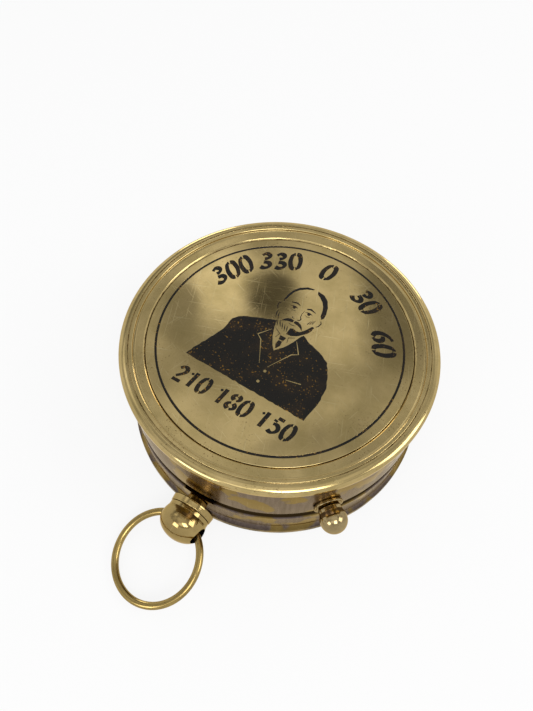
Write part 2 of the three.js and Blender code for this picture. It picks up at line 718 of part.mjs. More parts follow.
// The shadow plate lies folded towards +X, hinged along the noon line.
function gnomon() {
  const group = new THREE.Group();
  const axisZ = retainingZ + GNOMON_BARREL_RADIUS + RUNNING_GAP;
  group.position.z = axisZ;
  const barrelHalf = GNOMON_BARREL_LENGTH / 2;
  const heel = GNOMON_BARREL_RADIUS + HEEL_GAP;
  const back = GNOMON_LENGTH / 2;
  const shape = new THREE.Shape();
  shape.moveTo(0, -barrelHalf);
  shape.lineTo(heel, -barrelHalf);
  shape.lineTo(heel, -back);
  shape.lineTo(heel + GNOMON_TOE, -back);
  shape.lineTo(heel + GNOMON_HEIGHT, back - GNOMON_HOLLOW);
  shape.quadraticCurveTo(heel + GNOMON_HEIGHT / 2, back - GNOMON_HOLLOW, heel + GNOMON_TOE, back);
  shape.lineTo(heel, back);
  shape.lineTo(heel, barrelHalf);
  shape.lineTo(0, barrelHalf);
  const leaf = plate(shape, -GNOMON_THICKNESS / 2, GNOMON_THICKNESS / 2, SMALL_SIDES);
  const barrel = rodAlongY(GNOMON_BARREL_RADIUS, -barrelHalf, barrelHalf, SMALL_SIDES);
  const lugInner = barrelHalf + LUG_GAP;
  const lugOuter = lugInner + LUG_LENGTH;
  const boreRadius = GNOMON_PIN_RADIUS + RUNNING_GAP;
  const bore = rodAlongY(boreRadius, -lugOuter - LUG_LENGTH, lugOuter + LUG_LENGTH, SMALL_SIDES);
  const lug = (from, to) => {
    const cheek = rodAlongY(GNOMON_BARREL_RADIUS, from, to, SMALL_SIDES);
    const foot = box([-GNOMON_BARREL_RADIUS, from, retainingZ - axisZ], [GNOMON_BARREL_RADIUS, to, 0]);
    return cut(join([cheek, foot]), [bore]);
  };
  group.add(piece("gnomon", cut(join([leaf, barrel]), [bore]), polishedBrass));
  group.add(piece("gnomon_lug_front", lug(-lugOuter, -lugInner), polishedBrass));
  group.add(piece("gnomon_lug_back", lug(lugInner, lugOuter), polishedBrass));
  group.add(piece("gnomon_pin", rodAlongY(GNOMON_PIN_RADIUS, -lugOuter, lugOuter, SMALL_SIDES), steel));
  return group;
}

function pendant() {
  const group = new THREE.Group();
  group.rotation.z = -Math.PI / 2;
  group.position.z = PENDANT_HEIGHT;
  const flangeInner = wallFace + BOSS_LENGTH;
  const flangeOuter = flangeInner + FLANGE_LENGTH;
  const flangeBore = SHANK_RADIUS + FIXED_GAP;
  const flange = turnedAlongX(
    [
      [flangeBore, wallFace],
      [BOSS_RADIUS, wallFace],
      [BOSS_RADIUS, flangeInner],
      [FLANGE_RADIUS - FLANGE_CHAMFER, flangeInner],
      [FLANGE_RADIUS, flangeInner + FLANGE_CHAMFER],
      [FLANGE_RADIUS, flangeOuter - FLANGE_CHAMFER],
      [FLANGE_RADIUS - FLANGE_CHAMFER, flangeOuter],
      [flangeBore, flangeOuter],
      [flangeBore, wallFace],
    ],
    MIDDLE_SIDES,
  );
  const ballStart = flangeOuter + FIXED_GAP;
  const ballCentre = ballStart + BALL_STRAIGHT;
  const shoulderStart = ballStart + BALL_NECK_LENGTH;
  const shoulderStations = [0, 0.35, 0.7];
  const shoulder = shoulderStations.map((share) => [
    BALL_RADIUS - (BALL_RADIUS - BALL_NECK_RADIUS) * (1 - share) ** 2,
    shoulderStart + (ballCentre - shoulderStart) * share,
  ]);
  const flattening = BALL_DOME / BALL_RADIUS;
  const dome = arc(0, 0, BALL_RADIUS, 0, 90, 8).map(([r, rise]) => [r, ballCentre + rise * flattening]);
  const ball = turnedAlongX(
    [
      [0, shankEnd],
      [SHANK_RADIUS, shankEnd],
      [SHANK_RADIUS, ballStart],
      [BALL_NECK_RADIUS, ballStart],
      ...shoulder,
      ...dome,
    ],
    MIDDLE_SIDES,
  );
  const holeStation = ballCentre + CROSS_HOLE_OFFSET;
  const crossHole = rodAlongY(CROSS_HOLE_RADIUS, -2 * BALL_RADIUS, 2 * BALL_RADIUS, MIDDLE_SIDES);
  crossHole.rotateZ(CROSS_HOLE_YAW).rotateX(BOW_ROLL).translate(holeStation, 0, -CROSS_HOLE_DROP);
  const bow = new THREE.Group();
  bow.position.set(holeStation, 0, -CROSS_HOLE_DROP);
  bow.rotation.set(BOW_ROLL, BOW_TILT, BOW_YAW, "XYZ");
  const torus = new THREE.TorusGeometry(BOW_RADIUS, BOW_WIRE, WIRE_SIDES, LARGE_SIDES);
  const ring = piece("bow_ring", torus, polishedBrass);
  ring.position.set(BOW_RADIUS - BOW_SAG, 0, -BOW_DROP);
  bow.add(ring);
  group.add(piece("pendant_flange", flange, polishedBrass));
  group.add(piece("pendant_ball", cut(ball, [crossHole]), polishedBrass));
  group.add(bow);
  return group;
}

const compass = new THREE.Group();
compass.add(piece("case_body", caseBody(), tarnishedBrass));
compass.add(lid(), hinge(), dial(), needle(), lifter(), stud(), windowStack(), gnomon(), pendant());

export default compass;
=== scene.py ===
"""Looks of a round brass sundial compass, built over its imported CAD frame. Metres, +Z up."""

import logging
import math
import random
from dataclasses import dataclass
from enum import Enum

import bmesh
import bpy
from mathutils import Matrix, Vector


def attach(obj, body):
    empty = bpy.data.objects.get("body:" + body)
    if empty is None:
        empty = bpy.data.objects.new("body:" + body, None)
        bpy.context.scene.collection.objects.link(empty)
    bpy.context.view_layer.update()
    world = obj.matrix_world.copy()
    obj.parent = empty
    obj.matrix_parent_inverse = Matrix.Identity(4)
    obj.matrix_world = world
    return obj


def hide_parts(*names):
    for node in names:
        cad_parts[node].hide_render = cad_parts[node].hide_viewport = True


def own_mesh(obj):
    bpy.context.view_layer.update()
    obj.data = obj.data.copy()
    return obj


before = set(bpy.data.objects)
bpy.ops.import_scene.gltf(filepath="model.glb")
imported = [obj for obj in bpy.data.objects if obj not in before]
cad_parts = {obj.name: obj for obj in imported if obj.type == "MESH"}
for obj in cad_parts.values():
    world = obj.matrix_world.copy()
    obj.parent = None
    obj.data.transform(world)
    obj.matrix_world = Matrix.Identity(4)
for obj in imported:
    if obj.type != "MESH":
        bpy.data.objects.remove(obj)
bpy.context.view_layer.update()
LOG = logging.getLogger("sundial_compass")

MM = 0.001  # one millimetre in metres
MERGE = 1e-4  # millimetres within which points are one
ROUND_STEPS = 5  # facets on a rounded corner
CRISP = math.radians(32)  # least bend of an edge that stays crisp
BEVELLED = math.radians(40)  # least bend of an edge that is bevelled
LEVEL = math.cos(math.radians(0.25))  # least upright part of a level face's normal
CAP_HEIGHT = 0.69  # height of a figure as a share of the font's size
CURVE_STEPS = 5  # pieces between two points of a pen line
PEN_SLANT = math.radians(35)  # direction of the pen's edge

Corner = tuple[float, float, float]  # radius, height and rounding
Place = tuple[float, float, float]  # x, y and z
Point = tuple[float, float]  # x and y, or radius and height
Shape = bmesh.types.BMesh
Tree = bpy.types.NodeTree
Source = bpy.types.Node | bpy.types.NodeSocket  # what a link can start from


# Shaping

def rounded(corners: list[Corner], closed: bool) -> list[Vector]:
    """Rounds the corners of a profile.

    Args:
        corners: radius, height and rounding of each corner, in millimetres.
        closed: whether the last corner joins the first.

    Returns:
        The points of the rounded profile.
    """
    points: list[Vector] = []
    count = len(corners)
    for i, (r, z, rounding) in enumerate(corners):
        here = Vector((r, z))
        if rounding <= 0 or (not closed and i in (0, count - 1)):
            points.append(here)
            continue
        back = Vector(corners[i - 1][:2]) - here
        ahead = Vector(corners[(i + 1) % count][:2]) - here
        half = back.angle(ahead) / 2
        # Two roundings may share a side, so each stays just under half of it
        reach = min(rounding / math.tan(half), 0.499 * back.length, 0.499 * ahead.length)
        radius = reach * math.tan(half)
        inward = (back.normalized() + ahead.normalized()).normalized()
        centre = here + inward * (radius / math.sin(half))
        start = here + back.normalized() * reach - centre
        end = here + ahead.normalized() * reach - centre
        sweep = -start.angle_signed(end)
        for step in range(ROUND_STEPS + 1):
            points.append(centre + Matrix.Rotation(sweep * step / ROUND_STEPS, 2) @ start)
    return points


def curve_points(centre: Point, reach: Point, start: float, end: float, steps: int) -> list[Corner]:
    """Points on an arc of a circle or an ellipse, for a profile.

    Args:
        centre: radius and height of the arc's centre.
        reach: how far the whole curve goes outward and upward from there.
        start: first angle from the outward direction, in degrees.
        end: last angle, in degrees.
        steps: facets on the arc.

    Returns:
        Corners without rounding.
    """
    angles = [math.radians(start + (end - start) * i / steps) for i in range(steps + 1)]
    return [
        (centre[0] + reach[0] * math.cos(a), centre[1] + reach[1] * math.sin(a), 0.0) for a in angles
    ]


def turned(corners: list[Corner], closed: bool, steps: int) -> Shape:
    """Turns a profile about Z as on a lathe.

    Args:
        corners: radius, height and rounding of each corner, in millimetres.
        closed: True for the section of a ring, False for a profile that ends on the axis.
        steps: facets round the piece.

    Returns:
        The turned shape.
    """
    shape = bmesh.new()
    verts = [shape.verts.new((p.x, 0.0, p.y)) for p in rounded(corners, closed)]
    ends = verts[1:] + verts[:1] if closed else verts[1:]
    edges = [shape.edges.new(pair) for pair in zip(verts, ends)]
    bmesh.ops.spin(
        shape, geom=[*verts, *edges], cent=(0, 0, 0), axis=(0, 0, 1),
        angle=2 * math.pi, steps=steps, use_merge=True,
    )
    bmesh.ops.remove_doubles(shape, verts=shape.verts[:], dist=MERGE)
    bmesh.ops.delete(shape, geom=[e for e in shape.edges if e.is_wire], context="EDGES")
    bmesh.ops.recalc_face_normals(shape, faces=shape.faces[:])
    return shape


def rod(radius: float, start: float, end: float, soft: float = 0.0, steps: int = 32) -> Shape:
    """A round rod or disc about Z.

    Args:
        radius: its radius, in millimetres.
        start: its lower end.
        end: its upper end.
        soft: rounding of its edges.
        steps: facets round it.

    Returns:
        The rod.
    """
    return turned([(0, start, 0), (radius, start, soft), (radius, end, soft), (0, end, 0)], False, steps)


def tube(inner: float, outer: float, low: float, high: float, soft: float, steps: int) -> Shape:
    """A tube or a flat ring about Z.

    Args:
        inner: inner radius, in millimetres.
        outer: outer radius.
        low: lower level.
        high: upper level.
        soft: rounding of its edges.
        steps: facets round it.

    Returns:
        The tube.
    """
    section = [(inner, low, soft), (outer, low, soft), (outer, high, soft), (inner, high, soft)]
    return turned(section, True, steps)


def wound(radius: float, wire: float, sides: int, steps: int, turns: int = 1, rise: float = 0.0) -> Shape:
    """Wire about Z, bent to a ring or wound to a coil with closed ends.

    Args:
        radius: radius of the bend, in millimetres.
        wire: radius of the wire.
        sides: facets round the wire.
        steps: facets along each turn.
        turns: number of turns.
        rise: height from one end to the other, 0 for a ring.

    Returns:
        The bent wire.
    """
    shape = bmesh.new()
    section = bmesh.ops.create_circle(shape, segments=sides, radius=wire)["verts"]
    bmesh.ops.rotate(shape, verts=section, cent=(0, 0, 0), matrix=Matrix.Rotation(math.pi / 2, 3, "X"))
    bmesh.ops.translate(shape, verts=section, vec=(radius, 0, 0))
    bmesh.ops.spin(
        shape, geom=[*shape.verts, *shape.edges], cent=(0, 0, 0), axis=(0, 0, 1),
        dvec=(0, 0, rise / (steps * turns)), angle=2 * math.pi * turns, steps=steps * turns,
        use_merge=rise == 0,
    )
    bmesh.ops.remove_doubles(shape, verts=shape.verts[:], dist=MERGE)
    bmesh.ops.holes_fill(shape, edges=[e for e in shape.edges if e.is_boundary])
    bmesh.ops.recalc_face_normals(shape, faces=shape.faces[:])
    return shape


def block(low: Place, high: Place) -> Shape:
    """A box between two corners.

    Args:
        low: lowest corner, in millimetres.
        high: highest corner, in millimetres.

    Returns:
        The box.
    """
    shape = bmesh.new()
    bmesh.ops.create_cube(shape, size=1.0)
    size = Vector(high) - Vector(low)
    bmesh.ops.scale(shape, vec=size, verts=shape.verts[:])
    bmesh.ops.translate(shape, vec=Vector(low) + size / 2, verts=shape.verts[:])
    return shape


def slab(outlines: list[list[Point]], low: float, high: float) -> Shape:
    """Flat outlines raised between two levels.

    Args:
        outlines: closed outlines in the XY plane, in millimetres.
        low: lower level.
        high: upper level.

    Returns:
        One shape that holds every raised outline.
    """
    shape = bmesh.new()
    for outline in outlines:
        base = shape.faces.new([shape.verts.new((x, y, low)) for x, y in outline])
        raised = bmesh.ops.extrude_face_region(shape, geom=[base])
        tops = [v for v in raised["geom"] if isinstance(v, bmesh.types.BMVert)]
        bmesh.ops.translate(shape, vec=(0, 0, high - low), verts=tops)
    bmesh.ops.recalc_face_normals(shape, faces=shape.faces[:])
    return shape


def placed(shape: Shape, place: Matrix) -> Shape:
    """Moves a shape and returns it."""
    bmesh.ops.transform(shape, matrix=place, verts=shape.verts[:])
    return shape


def joined(*shapes: Shape) -> Shape:
    """Puts several shapes into one without merging them.

    Args:
        shapes: the shapes, which are used up.

    Returns:
        One shape.
    """
    whole = bmesh.new()
    for shape in shapes:
        mesh = bpy.data.meshes.new("part")
        shape.to_mesh(mesh)
        shape.free()
        whole.from_mesh(mesh)
        bpy.data.meshes.remove(mesh)
    return whole


def in_scene(shape: Shape, name: str, material: bpy.types.Material | None = None) -> bpy.types.Object:
    """Puts a shape in the scene as an object.

    Args:
        shape: the shape, which is used up.
        name: name of the object and of its mesh.
        material: its finish, if it has one.

    Returns:
        The object.
    """
    mesh = bpy.data.meshes.new(name)
    shape.to_mesh(mesh)
    shape.free()
    if material:
        mesh.materials.append(material)
    item = bpy.data.objects.new(name, mesh)
    bpy.context.scene.collection.objects.link(item)
    return item


def evaluated(holder: bpy.types.Object) -> Shape:
    """The shape of an object with its modifiers, or of its lettering.

    Args:
        holder: an object in the scene, which stays as it is.

    Returns:
        A new shape.
    """
    graph = bpy.context.evaluated_depsgraph_get()
    mesh = bpy.data.meshes.new_from_object(holder.evaluated_get(graph))
    shape = bmesh.new()
    shape.from_mesh(mesh)
    bpy.data.meshes.remove(mesh)
    return shape


class Joinery(Enum):
    """What a second shape does to the first."""

    CUT = "DIFFERENCE"
    ADD = "UNION"


def worked(shape: Shape, tool: Shape, how: Joinery) -> Shape:
    """Cuts a tool out of a shape, or joins it on.

    Args:
        shape: the shape that is worked, which is used up.
        tool: the second closed shape, which is used up.
        how: cut or add.

    Returns:
        The worked shape.
    """
    pair = [in_scene(shape, "work"), in_scene(tool, "tool")]
    step = pair[0].modifiers.new("work", "BOOLEAN")
    step.operation = how.value
    step.solver = "EXACT"
    step.object = pair[1]
    result = evaluated(pair[0])
    for holder in pair:
        data = holder.data
        bpy.data.objects.remove(holder)
        bpy.data.meshes.remove(data)
    return result


def softened(shape: Shape, width: float, above: float = -math.inf) -> Shape:
    """Bevels the sharp edges of a shape.

    Args:
        shape: the shape, which is changed.
        width: width of the bevel, in millimetres.
        above: level under which edges stay sharp.

    Returns:
        The same shape.
    """
    bmesh.ops.dissolve_limit(
        shape, angle_limit=math.radians(1), verts=shape.verts[:], edges=shape.edges[:])
    sharp = [
        e for e in shape.edges if e.is_manifold and e.calc_face_angle() > BEVELLED
        and min(v.co.z for v in e.verts) > above
    ]
    bmesh.ops.bevel(
        shape, geom=sharp, offset=width, affect="EDGES", segments=2, profile=0.5, material=-1,
        clamp_overlap=True,
    )
    return shape


def tick(turn: float, start: float, end: float, half: float) -> list[Point]:
    """Outline of a straight mark that points outward.

    Args:
        turn: clockwise angle from +Y.
        start: inner radius, in millimetres.
        end: outer radius.
        half: half the width of the mark.

    Returns:
        Its four corners.
    """
    outward = Vector((math.sin(turn), math.cos(turn)))
    across = Vector((outward.y, -outward.x)) * half
    corners = ((start, -1), (start, 1), (end, 1), (end, -1))
    return [tuple(outward * reach + across * side) for reach, side in corners]


def figures(text: str, height: float, turn: float, radius: float, low: float, high: float) -> Shape:
    """Raised figures or letters that stand on a circle.

    Args:
        text: the figures.
        height: height of a figure, in millimetres.
        turn: clockwise angle from +Y.
        radius: radius of the circle.
        low: lower level.
        high: upper level.

    Returns:
        The figures as closed shapes.
    """
    bold, narrow = 0.05, 0.9
    line = bpy.data.curves.new("figures", "FONT")
    line.body = text
    line.size = height / CAP_HEIGHT
    line.align_x = "CENTER"
    line.align_y = "CENTER"
    line.offset = bold
    line.extrude = (high - low) / 2
    line.resolution_u = 4
    holder = bpy.data.objects.new("figures", line)
    bpy.context.scene.collection.objects.link(holder)
    shape = evaluated(holder)
    bpy.data.objects.remove(holder)
    bpy.data.curves.remove(line)
    bmesh.ops.remove_doubles(shape, verts=shape.verts[:], dist=MERGE)
    bmesh.ops.scale(shape, vec=(narrow, 1, 1), verts=shape.verts[:])
    bmesh.ops.recalc_face_normals(shape, faces=shape.faces[:])
    place = Matrix.Rotation(-turn, 4, "Z") @ Matrix.Translation((0, radius, (low + high) / 2))
    return placed(shape, place)


def make_piece(
    shape: Shape, name: str, body: str, material: bpy.types.Material,
    replaces: tuple[str, ...] = (),
) -> bpy.types.Object:
    """Turns a shape in millimetres into a piece of the object.

    Level faces keep crisp edges, so that their reflections stay flat up to the rounding.

    Args:
        shape: the shape, which is used up.
        name: name of the piece.
        body: CAD body that it rides on.
        material: its finish.
        replaces: CAD nodes that it stands for.

    Returns:
        The piece.
    """
    bmesh.ops.scale(shape, vec=(MM, MM, MM), verts=shape.verts[:])
    shape.normal_update()
    for face in shape.faces:
        face.smooth = True
    for edge in shape.edges:
        lands = {abs(face.normal.z) > LEVEL for face in edge.link_faces}
        edge.smooth = edge.is_manifold and len(lands) == 1 and edge.calc_face_angle() < CRISP
    piece = in_scene(shape, name, material)
    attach(piece, body)
    if replaces:
        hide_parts(*replaces)
    LOG.info("%s: %d faces on %s", name, len(piece.data.polygons), body)
    return piece


# Finishes

def linear(code: str) -> tuple[float, float, float, float]:
    """Turns an sRGB hex colour into a linear one.

    Args:
        code: colour as #RRGGBB.

    Returns:
        Linear red, green, blue and alpha.
    """
    parts = [int(code[i:i + 2], 16) / 255 for i in (1, 3, 5)]
    values = [p / 12.92 if p <= 0.04045 else ((p + 0.055) / 1.055) ** 2.4 for p in parts]
    return (*values, 1.0)


class Kind(Enum):
    """Shader nodes that the finishes use."""

    COORDS = "ShaderNodeTexCoord"
    MAPPING = "ShaderNodeMapping"
    NOISE = "ShaderNodeTexNoise"
    RANGE = "ShaderNodeMapRange"
    MIX = "ShaderNodeMix"
    MATH = "ShaderNodeMath"
    VECTOR = "ShaderNodeVectorMath"
    SPLIT = "ShaderNodeSeparateXYZ"
    BUILD = "ShaderNodeCombineXYZ"
    BUMP = "ShaderNodeBump"
    PRINCIPLED = "ShaderNodeBsdfPrincipled"
    OUTPUT = "ShaderNodeOutputMaterial"
    EMISSION = "ShaderNodeEmission"
    DIFFUSE = "ShaderNodeBsdfDiffuse"
    MIX_SHADER = "ShaderNodeMixShader"
    LIGHT_PATH = "ShaderNodeLightPath"


def add_node(
    tree: Tree, kind: Kind, inputs: dict[str | int, object] | None = None, **settings: object,
) -> bpy.types.Node:
    """Adds a node with its settings and links.

    Args:
        tree: the tree that takes it.
        kind: which node.
        inputs: a value, an output socket or a node for its first output, for each input by name or number.
        settings: properties of the node.

    Returns:
        The node.
    """
    node = tree.nodes.new(kind.value)
    for key, value in settings.items():
        setattr(node, key, value)
    for key, value in (inputs or {}).items():
        if isinstance(value, bpy.types.Node):
            value = value.outputs[0]
        if isinstance(value, bpy.types.NodeSocket):
            tree.links.new(value, node.inputs[key])
        else:
            node.inputs[key].default_value = value
    return node


def new_tree(name: str) -> tuple[bpy.types.Material, Tree]:
    """Starts a material with an empty node tree.

    Args:
        name: name of the material.

    Returns:
        The material and its tree.
    """
    material = bpy.data.materials.new(name)
    material.use_nodes = True
    material.node_tree.nodes.clear()
    return material, material.node_tree


@dataclass(frozen=True)
class Axis:
    """Line that a piece was turned about, in metres."""

    origin: Place = (0.0, 0.0, 0.0)
    direction: Place = (0.0, 0.0, 1.0)


@dataclass(frozen=True)
class Brass:
    """Yellow brass, turned, polished and then handled for years.

    It shows soft brown patches of patina, faint turning lines, and fine bright
    scratches that run in four directions.
    """

    name: str
    clean: str = "#B7A270"
    dull: str = "#938251"
    fresh: str = "#D3C598"
    edge: str = "#F6E7CB"
    pit: str = "#5B4121"
    pits: float = 0.6
    roughness: tuple[float, float] = (0.14, 0.26)
    patch_mm: float = 6.0
    patina: float = 0.55
    axis: Axis = Axis()
    line_mm: float = 0.22
    line_depth: float = 0.12
    scratch: float = 0.5
    scratch_mm: float = 0.22
    wave: float = 0.25

    def build(self) -> bpy.types.Material:
        """Makes the material.

        Returns:
            The material.
        """
        material, tree = new_tree(self.name)
        place = add_node(tree, Kind.COORDS).outputs["Object"]
        radial, axial = self.stations(tree, place)
        patches = add_node(
            tree, Kind.NOISE,
            {"Vector": place, "Scale": 1 / (self.patch_mm * MM), "Detail": 5.0, "Roughness": 0.62},
        )
        share = add_node(
            tree, Kind.RANGE,
            {"Value": patches, "From Min": 0.38, "From Max": 0.7, "To Min": 0.0, "To Max": self.patina},
        )
        colour = add_node(
            tree, Kind.MIX, {0: share, 6: linear(self.clean), 7: linear(self.dull)}, data_type="RGBA",
        ).outputs[2]
        colour = self.pitting(tree, place, colour)
        lines = self.lines(tree, radial, axial)
        scratches = self.scratches(tree, place)
        shine = add_node(tree, Kind.MATH, {0: scratches, 1: self.scratch}, operation="MULTIPLY")
        colour = add_node(
            tree, Kind.MIX, {0: shine, 6: colour, 7: linear(self.fresh)}, data_type="RGBA").outputs[2]
        gloss = add_node(
            tree, Kind.RANGE,
            {"Value": patches, "From Min": 0.3, "From Max": 0.7,
             "To Min": self.roughness[0], "To Max": self.roughness[1]},
        )
        colour, gloss = self.staining(tree, place, radial, axial, colour, gloss)
        normal = self.relief(tree, place, lines, scratches)
        shader = add_node(
            tree, Kind.PRINCIPLED,
            {"Base Color": colour, "Metallic": 1.0, "Roughness": gloss, "Normal": normal,
             "Specular Tint": linear(self.edge)},
        )
        add_node(tree, Kind.OUTPUT, {"Surface": shader})
        return material

    def stations(self, tree: Tree, place: Source) -> tuple[Source, Source]:
        """Distance from the turning axis and station along it, in metres.

        Args:
            tree: the material's tree.
            place: Object coordinates.

        Returns:
            The two output sockets.
        """
        from_origin = add_node(tree, Kind.VECTOR, {0: place, 1: self.axis.origin}, operation="SUBTRACT")
        axial = add_node(
            tree, Kind.VECTOR, {0: from_origin, 1: self.axis.direction}, operation="DOT_PRODUCT",
        ).outputs["Value"]
        along = add_node(tree, Kind.VECTOR, {0: self.axis.direction, "Scale": axial}, operation="SCALE")
        across = add_node(tree, Kind.VECTOR, {0: from_origin, 1: along}, operation="SUBTRACT")
        radial = add_node(tree, Kind.VECTOR, {0: across}, operation="LENGTH").outputs["Value"]
        return radial, axial

    def pitting(self, tree: Tree, place: Source, colour: Source) -> Source:
        """Small brown pits about 0.3 mm across, gathered in clusters.

        Args:
            tree: the material's tree.
            place: Object coordinates.
            colour: colour so far.

        Returns:
            The colour with the pits.
        """
        dots = add_node(tree, Kind.NOISE, {"Vector": place, "Scale": 1 / (0.32 * MM), "Detail": 1.0})
        clusters = add_node(tree, Kind.NOISE, {"Vector": place, "Scale": 1 / (7 * MM), "Detail": 1.0})
        both = add_node(tree, Kind.MATH, {0: clusters, 1: 0.35, 2: dots}, operation="MULTIPLY_ADD")
        share = add_node(
            tree, Kind.RANGE, {"Value": both, "From Min": 0.87, "From Max": 0.95, "To Max": self.pits})
        return add_node(
            tree, Kind.MIX, {0: share, 6: colour, 7: linear(self.pit)}, data_type="RGBA").outputs[2]

    def lines(self, tree: Tree, radial: Source, axial: Source) -> Source:
        """Turning lines. Real ones are about 0.05 mm apart, drawn coarser so that they show.

        Args:
            tree: the material's tree.
            radial: distance from the axis.
            axial: station along the axis.

        Returns:
            The height of the lines, 0 to 1.
        """
        station = add_node(tree, Kind.MATH, {0: radial, 1: axial}, operation="ADD")
        return add_node(
            tree, Kind.NOISE, {"W": station, "Scale": 1 / (self.line_mm * MM), "Detail": 2.0},
            noise_dimensions="1D",
        )

    def scratches(self, tree: Tree, place: Source) -> Source:
        """Scratches in four directions. Real ones are finer, drawn coarser so that they show.

        Args:
            tree: the material's tree.
            place: Object coordinates.

        Returns:
            The scratches, 0 to 1.
        """
        total: Source | None = None
        for turn, length in ((0.35, 9.0), (1.25, 6.0), (1.95, 10.0), (2.75, 5.0)):
            laid = add_node(
                tree, Kind.MAPPING,
                {"Vector": place, "Rotation": (0.0, 0.0, turn), "Location": (turn, turn, 0.0),
                 "Scale": (length * MM, self.scratch_mm * MM, length * MM)}, vector_type="TEXTURE",
            )
            grain = add_node(tree, Kind.NOISE, {"Vector": laid, "Scale": 1.0, "Detail": 1.0})
            one = add_node(tree, Kind.RANGE, {"Value": grain, "From Min": 0.685, "From Max": 0.77})
            total = one if total is None else add_node(
                tree, Kind.MATH, {0: total, 1: one}, operation="MAXIMUM")
        return total

    def staining(
        self, tree: Tree, place: Source, radial: Source, axial: Source, colour: Source, gloss: Source,
    ) -> tuple[Source, Source]:
        """Leaves clean brass as it is; finishes with stains lay them over it here.

        Args:
            tree: the material's tree.
            place: Object coordinates.
            radial: distance from the axis.
            axial: station along the axis.
            colour: colour so far.
            gloss: roughness so far.

        Returns:
            The colour and the roughness.
        """
        return colour, gloss

    def relief(self, tree: Tree, place: Source, lines: Source, scratches: Source) -> Source:
        """Hand-polished unevenness, turning lines and scratches as relief.

        Args:
            tree: the material's tree.
            place: Object coordinates.
            lines: height of the turning lines.
            scratches: the scratches.

        Returns:
            The normal.
        """
        swell = add_node(tree, Kind.NOISE, {"Vector": place, "Scale": 1 / (9 * MM), "Detail": 1.0})
        uneven = add_node(
            tree, Kind.BUMP, {"Height": swell, "Strength": self.wave, "Distance": 0.4 * MM})
        grooved = add_node(
            tree, Kind.BUMP,
            {"Height": lines, "Strength": self.line_depth, "Distance": 0.05 * MM, "Normal": uneven},
        )
        return add_node(
            tree, Kind.BUMP,
            {"Height": scratches, "Strength": 0.05, "Distance": 0.02 * MM, "Normal": grooved}, invert=True,
        )


@dataclass(frozen=True)
class RimBrass(Brass):
    """Lid rim brass with black-brown residue left in its grooves.

    The residue is what polish and dirt leave where a cloth can't reach.
    """

    residue: str = "#3D2711"
    grooves: tuple[tuple[float, float], ...] = ((30.1, 0.1), (26.95, 0.13))

    def staining(
        self, tree: Tree, place: Source, radial: Source, axial: Source, colour: Source, gloss: Source,
    ) -> tuple[Source, Source]:
        """Lays residue in the grooves.

        Args:
            tree: the material's tree.
            place: Object coordinates.
            radial: distance from the axis.
            axial: station along the axis.
            colour: colour so far.
            gloss: roughness so far.

        Returns:
            The colour and the roughness.
        """
        uneven = add_node(tree, Kind.NOISE, {"Vector": place, "Scale": 1 / (0.8 * MM), "Detail": 3.0})
        total: Source | None = None
        for radius, half in self.grooves:
            away = add_node(tree, Kind.MATH, {0: radial, 1: radius * MM}, operation="SUBTRACT")
            size = add_node(tree, Kind.MATH, {0: away}, operation="ABSOLUTE")
            reach = add_node(
                tree, Kind.MATH, {0: uneven, 1: 3 * half * MM, 2: -half * MM / 2}, operation="MULTIPLY_ADD",
            )
            one = add_node(
                tree, Kind.RANGE,
                {"Value": size, "From Min": reach, "From Max": 0.0, "To Min": 0.0, "To Max": 1.2},
            )
            total = one if total is None else add_node(
                tree, Kind.MATH, {0: total, 1: one}, operation="MAXIMUM")
        spread = add_node(tree, Kind.NOISE, {"Vector": place, "Scale": 1 / (4 * MM), "Detail": 2.0})
        kept = add_node(
            tree, Kind.RANGE, {"Value": spread, "From Min": 0.42, "From Max": 0.62, "To Min": 0.12})
        total = add_node(tree, Kind.MATH, {0: total, 1: kept}, operation="MULTIPLY")
        colour = add_node(
            tree, Kind.MIX, {0: total, 6: colour, 7: linear(self.residue)}, data_type="RGBA").outputs[2]
        dirt_and_shade = add_node(tree, Kind.MATH, {0: total, 1: 0.4}, operation="MULTIPLY")
        gloss = add_node(tree, Kind.MATH, {0: gloss, 1: dirt_and_shade}, operation="ADD")
        return colour, gloss


